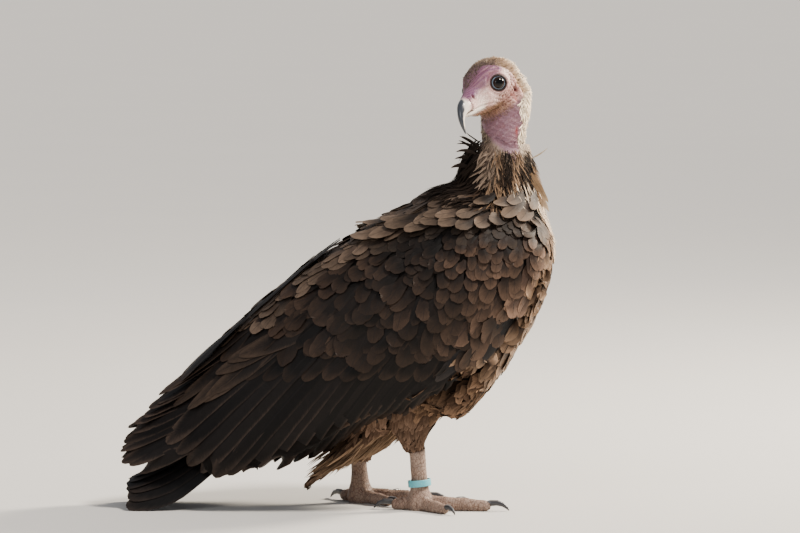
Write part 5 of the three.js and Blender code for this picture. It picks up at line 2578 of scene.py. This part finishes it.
def vane_group() -> Tree:
    """The look of a feather's vane: a paler rim, a shaft, and barbs that slant to its tip.

    Returns:
        The group.
    """
    far_apart, spread_share, cloud_scale = 37.0, 0.22, 0.16
    graph, given, out = new_group(
        "vane_pattern",
        {"Barb Width": 0.9, "Rim Start": 0.7, "Streaks": 0.5, "Softness": 0.3},
        (("Color", "Color"), ("Height", "Float"), ("Streak", "Float")),
    )
    barb_width = given.outputs["Barb Width"]
    place = graph.parts(graph.attribute("vane").outputs["Vector"])
    across, along, tone = graph.size_of(place[0]), place[1], place[2]
    metric = graph.parts(graph.node("UVMap", uv_map="Barbs").outputs[0])
    slant = graph.less(metric[1], graph.size_of(metric[0]))
    slant = graph.plus(slant, graph.times(tone, far_apart))
    spread = graph.times(graph.size_of(metric[0]), spread_share)
    lines = graph.vector(graph.math("DIVIDE", slant, barb_width), spread, tone)
    streak = graph.noise(lines, 1.0, 3.0)
    cloud_place = graph.vector(metric[0], metric[1], graph.times(tone, 20.0))
    cloud = graph.noise(cloud_place, cloud_scale, 2.0)
    unevenness = graph.less(streak, 0.5)
    edge = graph.plus(across, graph.times(unevenness, 0.35))
    sides = graph.times(graph.ramp(edge, 0.74, 1.0), graph.ramp(along, 0.3, 0.75))
    reach = graph.plus(along, graph.times(graph.times(across, across), 0.16))
    reach = graph.plus(reach, graph.times(unevenness, 0.12))
    tip = graph.ramp(reach, given.outputs["Rim Start"], 1.06)
    rim = graph.math("MAXIMUM", graph.times(sides, 0.75), tip)
    tint, rim_tint = (graph.attribute(name).outputs[0] for name in ("tint", "rim"))
    colour = graph.blend(rim, tint, rim_tint)
    change = graph.times(unevenness, given.outputs["Streaks"])
    change = graph.plus(change, graph.times(graph.less(cloud, 0.5), 0.7))
    shade = graph.math("MAXIMUM", graph.plus(change, 1.0), 0.2)
    colour = graph.tinted(colour, graph.vector(shade, shade, shade))
    shaft = graph.less(1.0, graph.ramp(across, 0.03, 0.1))
    colour = graph.blend(graph.times(shaft, 0.4), colour, (0.008, 0.006, 0.006, 1.0))
    fine = graph.math("DIVIDE", slant, graph.times(barb_width, 0.4))
    barbs = graph.noise(graph.vector(fine, spread, tone), 1.0, 1.0)
    graph.put(out.inputs["Color"], colour)
    height = graph.plus(graph.times(barbs, given.outputs["Softness"]), streak)
    graph.put(out.inputs["Height"], height)
    graph.put(out.inputs["Streak"], streak)
    return graph.tree


def folds_group() -> Tree:
    """Fine wrinkles and blotches of bare skin.

    Returns:
        The group.
    """
    grain_scale, warp_scale = 900.0, 140.0
    graph, given, out = new_group(
        "skin_folds",
        {"Fold Scale": 420.0, "Blotch Scale": 90.0},
        (("Height", "Float"), ("Blotch", "Float")),
    )
    place = graph.node("TexCoord").outputs["Object"]
    warp = graph.node("TexNoise", {"Vector": place, "Scale": warp_scale, "Detail": 2.0}).outputs[1]
    moved = graph.node("VectorMath", {0: warp, 1: (0.012, 0.012, 0.012)}, operation="MULTIPLY")
    bent = graph.node("VectorMath", {0: place, 1: moved.outputs[0]}, operation="ADD").outputs[0]
    cells = graph.edges(bent, given.outputs["Fold Scale"])
    grain = graph.noise(bent, grain_scale, 3.0)
    height = graph.plus(graph.ramp(cells, 0.0, 0.25), graph.times(grain, 0.6))
    graph.put(out.inputs["Height"], height)
    graph.put(out.inputs["Blotch"], graph.noise(bent, given.outputs["Blotch Scale"], 4.0))
    return graph.tree


def scales_group() -> Tree:
    """Small scales with dark seams, as on a shank.

    Returns:
        The group.
    """
    graph, given, out = new_group(
        "leg_scales",
        {"Scale Count": 330.0},
        (("Height", "Float"), ("Seam", "Float"), ("Tone", "Float")),
    )
    count = given.outputs["Scale Count"]
    place = graph.node("TexCoord").outputs["Object"]
    squeezed = {0: place, 1: (1.0, 1.0, 0.72)}
    flat = graph.node("VectorMath", squeezed, operation="MULTIPLY").outputs[0]
    edge = graph.edges(flat, count)
    cell = graph.node("TexVoronoi", {"Vector": flat, "Scale": count})
    graph.put(out.inputs["Height"], graph.ramp(edge, 0.0, 0.16))
    graph.put(out.inputs["Seam"], graph.less(1.0, graph.ramp(edge, 0.0, 0.09)))
    graph.put(out.inputs["Tone"], graph.parts(cell.outputs["Color"])[0])
    return graph.tree


@dataclass(frozen=True)
class Finish:
    """The fixed values of a surface.

    Attributes:
        name: Its name.
        roughness: How dull it is.
        sheen: How much light its edges take as cloth and down do.
        coat: How wet or polished it looks.
        specular: How strongly it reflects.
    """

    name: str
    roughness: float
    sheen: float = 0.0
    coat: float = 0.0
    specular: float = 0.5

    def start(self) -> tuple[Graph, Material, Node]:
        """A new material with the finish's fixed values.

        Returns:
            Its graph, the material and its shader.
        """
        material = bpy.data.materials.new(self.name)
        material.use_nodes = True
        material.node_tree.nodes.clear()
        graph = Graph(material.node_tree)
        shader = graph.node("BsdfPrincipled", {"Roughness": self.roughness})
        shader.inputs["Sheen Weight"].default_value = self.sheen
        shader.inputs["Sheen Roughness"].default_value = 0.45
        shader.inputs["Coat Weight"].default_value = self.coat
        shader.inputs["Coat Roughness"].default_value = 0.05
        shader.inputs["Specular IOR Level"].default_value = self.specular
        graph.node("OutputMaterial", {"Surface": shader.outputs[0]})
        return graph, material, shader

    def bump(self, graph: Graph, shader: Node, height: object, depth: float) -> None:
        """Feeds a height in millimetres of relief into the shader's normal."""
        made = graph.node("Bump", {"Height": height, "Distance": depth * MM, "Strength": 1.0})
        graph.put(shader.inputs["Normal"], made.outputs[0])


@dataclass(frozen=True)
class FeatherFinish(Finish):
    """Feathers.

    Attributes:
        barb_width: How wide a bundle of barbs is.
        rim_start: Where along the vane the paler rim begins.
        streaks: How much light and dark the barbs show.
        relief: How deep the barbs are.
    """

    barb_width: float = 0.9
    rim_start: float = 0.8
    streaks: float = 0.5
    relief: float = 0.12

    def material(self, group: Tree) -> Material:
        """The material, made with the vane's pattern.

        Args:
            group: The pattern.

        Returns:
            The material.
        """
        graph, material, shader = self.start()
        vane = graph.node("Group", node_tree=group)
        for key, value in (
            ("Barb Width", self.barb_width),
            ("Rim Start", self.rim_start),
            ("Streaks", self.streaks),
        ):
            vane.inputs[key].default_value = value
        graph.put(shader.inputs["Base Color"], vane.outputs["Color"])
        dull = graph.plus(graph.times(vane.outputs["Streak"], 0.3), self.roughness - 0.15)
        graph.put(shader.inputs["Roughness"], dull)
        self.bump(graph, shader, vane.outputs["Height"], self.relief)
        return material


@dataclass(frozen=True)
class SkinFinish(Finish):
    """Bare and scaly skin, and the dark skin under the feathers."""

    def material(self, folds: Tree, scales: Tree) -> Material:
        """The material, made with the wrinkles and the scales.

        Args:
            folds: The wrinkles.
            scales: The scales.

        Returns:
            The material.
        """
        graph, material, shader = self.start()
        fold = graph.node("Group", node_tree=folds)
        scale = graph.node("Group", node_tree=scales)
        bare = graph.attribute("bare").outputs["Fac"]
        scaly = graph.attribute("scaly").outputs["Fac"]
        tint = graph.attribute("tint").outputs[0]
        blotch = graph.times(graph.ramp(fold.outputs["Blotch"], 0.35, 0.7), 0.4)
        flushed = graph.tinted(tint, (0.85, 0.6, 0.6, 1.0))
        colour = graph.blend(graph.times(blotch, bare), tint, flushed)
        # Painted shade: the hollows of the fine wrinkles on bare skin are darkened.
        hollow_shade = graph.less(1.0, graph.ramp(fold.outputs["Height"], 0.15, 0.75))
        darker = graph.tinted(colour, (0.66, 0.45, 0.42, 1.0))
        colour = graph.blend(graph.times(graph.times(hollow_shade, bare), 0.7), colour, darker)
        seamed = graph.tinted(colour, (0.42, 0.32, 0.28, 1.0))
        colour = graph.blend(graph.times(scale.outputs["Seam"], scaly), colour, seamed)
        paler = graph.tinted(colour, (1.25, 1.2, 1.15, 1.0))
        colour = graph.blend(graph.times(scale.outputs["Tone"], scaly), colour, paler)
        graph.put(shader.inputs["Base Color"], colour)
        shown = graph.math("MAXIMUM", bare, scaly)
        dull = graph.less(0.95, graph.times(shown, 0.95 - self.roughness))
        graph.put(shader.inputs["Roughness"], dull)
        height = graph.times(fold.outputs["Height"], bare)
        height = graph.plus(height, graph.times(scale.outputs["Height"], scaly))
        self.bump(graph, shader, height, 0.16)
        return material


@dataclass(frozen=True)
class TintFinish(Finish):
    """A surface whose colours are kept in the mesh: horn, claw or eye.

    Attributes:
        grain: How deep its fine streaks are.
        grain_scale: How many streaks to a metre.
    """

    grain: float = 0.0
    grain_scale: float = 300.0

    def material(self) -> Material:
        """Makes the material.

        Returns:
            The material.
        """
        graph, material, shader = self.start()
        place = graph.node("TexCoord").outputs["Object"]
        streak = graph.noise(place, self.grain_scale, 3.0)
        tint = graph.attribute("tint").outputs[0]
        darker = graph.tinted(tint, (0.6, 0.58, 0.56, 1.0))
        share = graph.times(graph.ramp(streak, 0.4, 0.7), min(4 * self.grain, 0.6))
        graph.put(shader.inputs["Base Color"], graph.blend(share, tint, darker))
        if self.grain:
            self.bump(graph, shader, streak, self.grain)
        return material


@dataclass(frozen=True)
class PlasticFinish(Finish):
    """Coloured plastic with small scuffs.

    Attributes:
        colour: Its colour.
    """

    colour: Colour = (0.1, 0.42, 0.5)

    def material(self) -> Material:
        """Makes the material.

        Returns:
            The material.
        """
        graph, material, shader = self.start()
        place = graph.node("TexCoord").outputs["Object"]
        scuff = graph.ramp(graph.noise(place, 700.0, 4.0), 0.52, 0.7)
        worn = tuple(0.55 * c + 0.3 for c in self.colour)
        colour = graph.blend(graph.times(scuff, 0.35), (*self.colour, 1.0), (*worn, 1.0))
        graph.put(shader.inputs["Base Color"], colour)
        self.bump(graph, shader, scuff, 0.03)
        return material


@dataclass(frozen=True)
class PlainFinish(Finish):
    """The pale floor.

    Attributes:
        colour: Its colour.
    """

    colour: Colour = (0.62, 0.6, 0.57)

    def material(self) -> Material:
        """Makes the material.

        Returns:
            The material.
        """
        graph, material, shader = self.start()
        place = graph.node("TexCoord").outputs["Object"]
        cloud = graph.noise(place, 3.0, 2.0)
        dim = tuple(0.97 * c for c in self.colour)
        graph.put(shader.inputs["Base Color"], graph.blend(cloud, (*self.colour, 1.0), (*dim, 1.0)))
        return material


# ---------------------------------------------------------------- the studio
@dataclass
class Studio:
    """The camera, the lights and the pale floor.

    Attributes:
        aim: The point that the camera looks at, in metres.
        distance: How far off the camera stands.
        elevation: How far it looks down, in degrees.
        view_width: The width of the picture at the aim point.
        floor_reach: How far the floor goes each way.
        key_softness: The angle that the key light fills, in radians.
        sky_colour: The colour of the light from all round.
        sky_strength: How bright it is.
        lit_point: What the soft lights face, in metres.
    """

    aim: Colour = (0.068, 0.0, 0.25305)
    distance: float = 6.0
    elevation: float = 4.5
    view_width: float = 0.84
    floor_reach: float = 60.0
    key_softness: float = 0.2
    sky_colour: Colour = (0.95, 0.96, 1.0)
    sky_strength: float = 0.45
    lit_point: Colour = (0.05, 0, 0.25)

    def camera(self) -> None:
        """Sets up the camera."""
        data = bpy.data.cameras.new("camera")
        data.lens = 36.0 * self.distance / self.view_width
        data.sensor_width = 36.0
        data.clip_end = 200
        camera = bpy.data.objects.new("camera", data)
        tilt = math.radians(self.elevation)
        back = Vector((0, -math.cos(tilt), math.sin(tilt)))
        camera.location = Vector(self.aim) + self.distance * back
        camera.rotation_euler = (math.pi / 2 - tilt, 0, 0)
        bpy.context.scene.collection.objects.link(camera)
        bpy.context.scene.camera = camera

    def light(self, name: str, place: Colour, size: float, power: float, colour: Colour) -> None:
        """Hangs one soft square light that faces the bird.

        Args:
            name: Its name.
            place: Where it hangs, in metres.
            size: The length of its sides.
            power: Its power in watts.
            colour: Its colour.
        """
        data = bpy.data.lights.new(name, "AREA")
        data.size, data.energy, data.color = size, power, colour
        lamp = bpy.data.objects.new(name, data)
        lamp.location = place
        look = Vector(self.lit_point) - Vector(place)
        lamp.rotation_euler = look.to_track_quat("-Z", "Y").to_euler()
        bpy.context.scene.collection.objects.link(lamp)

    def sun(self, place: Colour, power: float, colour: Colour) -> None:
        """Sets up the key light, which lights bird and floor evenly.

        Args:
            place: The point that it shines from, towards the origin.
            power: Its power in watts a square metre.
            colour: Its colour.
        """
        data = bpy.data.lights.new("key", "SUN")
        data.energy, data.color, data.angle = power, colour, self.key_softness
        lamp = bpy.data.objects.new("key", data)
        lamp.rotation_euler = Vector(place).to_track_quat("Z", "Y").to_euler()
        bpy.context.scene.collection.objects.link(lamp)

    def build(self) -> None:
        """Makes the camera, lights, world and floor."""
        self.camera()
        self.sun(place=(1.3, -0.8, 2.2), power=4.4, colour=(1.0, 0.93, 0.84))
        self.light("rim", (2.1, 0.9, 1.6), size=0.6, power=190, colour=(1.0, 0.9, 0.75))
        self.light("fill", (-1.4, -2.4, 1.6), size=0.9, power=16, colour=(0.97, 0.98, 1.0))
        world = bpy.data.worlds.new("world")
        world.use_nodes = True
        sky = world.node_tree.nodes["Background"]
        sky.inputs["Color"].default_value = (*self.sky_colour, 1.0)
        sky.inputs["Strength"].default_value = self.sky_strength
        bpy.context.scene.world = world
        self.floor()

    def floor(self) -> None:
        """Lays the plain floor."""
        corners = np.array([[-1, -1, 0], [1, -1, 0], [1, 1, 0], [-1, 1, 0]]) * self.floor_reach / MM
        piece = new_object("floor", corners, [np.array([[0, 1, 2, 3]])])
        piece.data.materials.append(PlainFinish("floor_finish", 0.85).material())


# ---------------------------------------------------------------- putting it together
@dataclass
class Vulture:
    """The whole bird.

    Attributes:
        coat_candidates: How many places to try for the feathers of the body.
        tuft_candidates: The same for the down of the head.
        collar_candidates: The same for the collar.
        bristle_candidates: The same for the bristles.
        guide_voxel: The size of the faces of the outline that feathers follow.
        least_height: How far feathers stay above the floor.
    """

    coat_candidates: int = 60000
    tuft_candidates: int = 60000
    collar_candidates: int = 160000
    bristle_candidates: int = 40000
    guide_voxel: float = 3.0
    least_height: float = 0.2

    def __post_init__(self) -> None:
        """Starts the sources of chance and the finishes."""
        self.random = np.random.default_rng(SEED)
        self.unwrap = BodyUnwrap()
        vane, folds, scales = vane_group(), folds_group(), scales_group()
        feathers = {
            "contour": FeatherFinish("contour_feather", 0.55, specular=0.16, rim_start=0.45),
            "flight": FeatherFinish(
                "flight_feather", 0.46, specular=0.13, barb_width=0.7,
                rim_start=0.9, streaks=0.6, relief=0.08,
            ),
            "covert": FeatherFinish(
                "long_covert", 0.5, specular=0.14, barb_width=0.75,
                rim_start=0.75, streaks=0.6, relief=0.09,
            ),
            "soft": FeatherFinish(
                "soft_feather", 0.8, specular=0.05, barb_width=0.6,
                rim_start=0.5, streaks=0.7, relief=0.14,
            ),
            "down": FeatherFinish(
                "down", 0.9, sheen=0.08, specular=0.05, barb_width=0.4,
                rim_start=0.7, streaks=0.4, relief=0.08,
            ),
        }
        self.finishes = {key: finish.material(vane) for key, finish in feathers.items()}
        self.finishes |= {
            "skin": SkinFinish("skin", 0.5, specular=0.22).material(folds, scales),
            "horn": TintFinish("bill_horn", 0.3, coat=0.25, grain=0.05, grain_scale=420).material(),
            "claw": TintFinish("claw_horn", 0.28, coat=0.2, grain=0.04, grain_scale=500).material(),
            "eye": TintFinish("eye", 0.06, coat=0.22, specular=0.14).material(),
            "ring": PlasticFinish("ring_plastic", 0.42).material(),
        }

    def dress(self, piece: Piece, finish: str) -> None:
        """Gives a piece its material and reports it.

        Args:
            piece: The piece.
            finish: The key of its finish.
        """
        piece.data.materials.clear()
        piece.data.materials.append(self.finishes[finish])
        triangles = sum(len(face.vertices) - 2 for face in piece.data.polygons)
        log.info("%-26s %7d triangles", piece.name, triangles)

    def coat_piece(self, plumage: Plumage, name: str, finish: str, slot: str, *nodes: str) -> None:
        """Makes one piece of the coat.

        Args:
            plumage: Its feathers.
            name: Its name.
            finish: Its material.
            slot: Not used.
            nodes: The nodes of the frame that it stands for.
        """
        piece = plumage.piece(name, self.unwrap)
        points = points_of(piece)
        points[:, 2] = np.maximum(points[:, 2], self.least_height)
        move_points(piece, points)
        self.dress(piece, finish)
        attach(piece, BODY)
        if nodes:
            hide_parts(*nodes)

    def guide(self) -> Surface:
        """The outline of the feathered body.

        Returns:
            The outline.
        """
        nodes = ["trunk", "neck", "ruff", "vent", "tail"]
        for side in SIDES:
            nodes += [f"wing_{side}", f"primaries_{side}", f"thigh_{side}"]
        piece = remeshed("guide", node_pieces(*nodes), self.guide_voxel)
        move_points(piece, relaxed(points_of(piece), edges_of(piece), 14))
        surface = Surface(piece)
        bpy.data.objects.remove(piece)
        return surface

    def build(self) -> None:
        """Makes every piece."""
        sockets = [EyeSocket(1), EyeSocket(-1)]
        skin = Skin(sockets)
        whole = skin.build()
        self.dress(whole, "skin")
        for socket, name in zip(sockets, SIDES):
            self.dress(Eye().build(socket, f"eyeball_{name}", f"eye_{name}"), "eye")
        for piece in Bill().build():
            self.dress(piece, "horn")
        for piece in Claws().build():
            self.dress(piece, "claw")
        self.dress(LegRing().build(), "ring")
        guide = self.guide()
        self.lay_body(Coat(guide, self.random), guide)
        self.lay_wings_and_tail(guide)
        self.lay_down(skin, Surface(whole))

    def lay_body(self, coat: Coat, guide: Surface) -> None:
        """Lays the scattered feathers and the ruff.

        Args:
            coat: The coat.
            guide: The outline that the feathers make.
        """
        finish_of = {Tract.BELLY: "soft", Tract.THIGH: "soft", Tract.VENT: "soft"}
        slot_of = {Tract.THIGH: "leg_feather", Tract.VENT: "leg_feather"}
        for tract, plumage in coat.scattered_feathers(self.coat_candidates).items():
            finish = finish_of.get(tract, "contour")
            slot = slot_of.get(tract, "body_feather")
            for side, half in plumage.halves():
                stands_for = ("vent",) if tract is Tract.VENT and side == "right" else ()
                self.coat_piece(half, f"{tract.value}_coat_{side}", finish, slot, *stands_for)
        self.coat_piece(Ruff().lay(guide, coat, self.random), "hackles", "soft", "down")
        self.coat_piece(Wisps().lay(guide, self.random), "vent_wisps", "soft", "leg_feather")

    def lay_wings_and_tail(self, guide: Surface) -> None:
        """Lays the rows of the folded wings and the tail.

        Args:
            guide: The outline that the feathers make.
        """
        for side, name in ((1, "left"), (-1, "right")):
            flight = Plumage(Vane.FLIGHT, guide, self.random)
            coverts = Plumage(Vane.LONG_COVERT, guide, self.random)
            for row in WING_ROWS:
                row.lay(flight if row.vane is Vane.FLIGHT else coverts, side)
            fold = Plumage(Vane.CONTOUR, guide, self.random)
            for row in FOLD_ROWS:
                row.lay(fold, side)
            end = f"primaries_{name}"
            self.coat_piece(flight, f"flight_{name}", "flight", "flight_feather", end)
            self.coat_piece(coverts, f"greater_coverts_{name}", "covert", "body_feather")
            self.coat_piece(fold, f"scapular_fold_{name}", "contour", "body_feather")
        tail = Plumage(Vane.FLIGHT, guide, self.random)
        TailFan().lay(tail)
        self.coat_piece(tail, "tail_feathers", "flight", "flight_feather", "tail")

    def lay_down(self, skin: Skin, whole: Surface) -> None:
        """Lays the down of the head and neck.

        Args:
            skin: The skin, which keeps its markings.
            whole: The surface of the finished skin.
        """
        down = Down(skin.fine, skin.marks, self.random)
        crown, nape = down.tufts(self.tuft_candidates)
        self.coat_piece(crown, "crown_down", "down", "down")
        self.coat_piece(nape, "neck_down", "down", "down")
        collar = down.collar(whole, self.collar_candidates)
        self.coat_piece(collar, "collar_down", "down", "down")
        self.coat_piece(down.bristles(self.bristle_candidates), "jaw_bristles", "down", "down")


def main() -> None:
    """Builds the studio and the bird, and reports each piece."""
    logging.basicConfig(level=logging.INFO, format="%(name)s: %(message)s")
    Studio().build()
    Vulture().build()


if __name__ == "__main__":
    main()
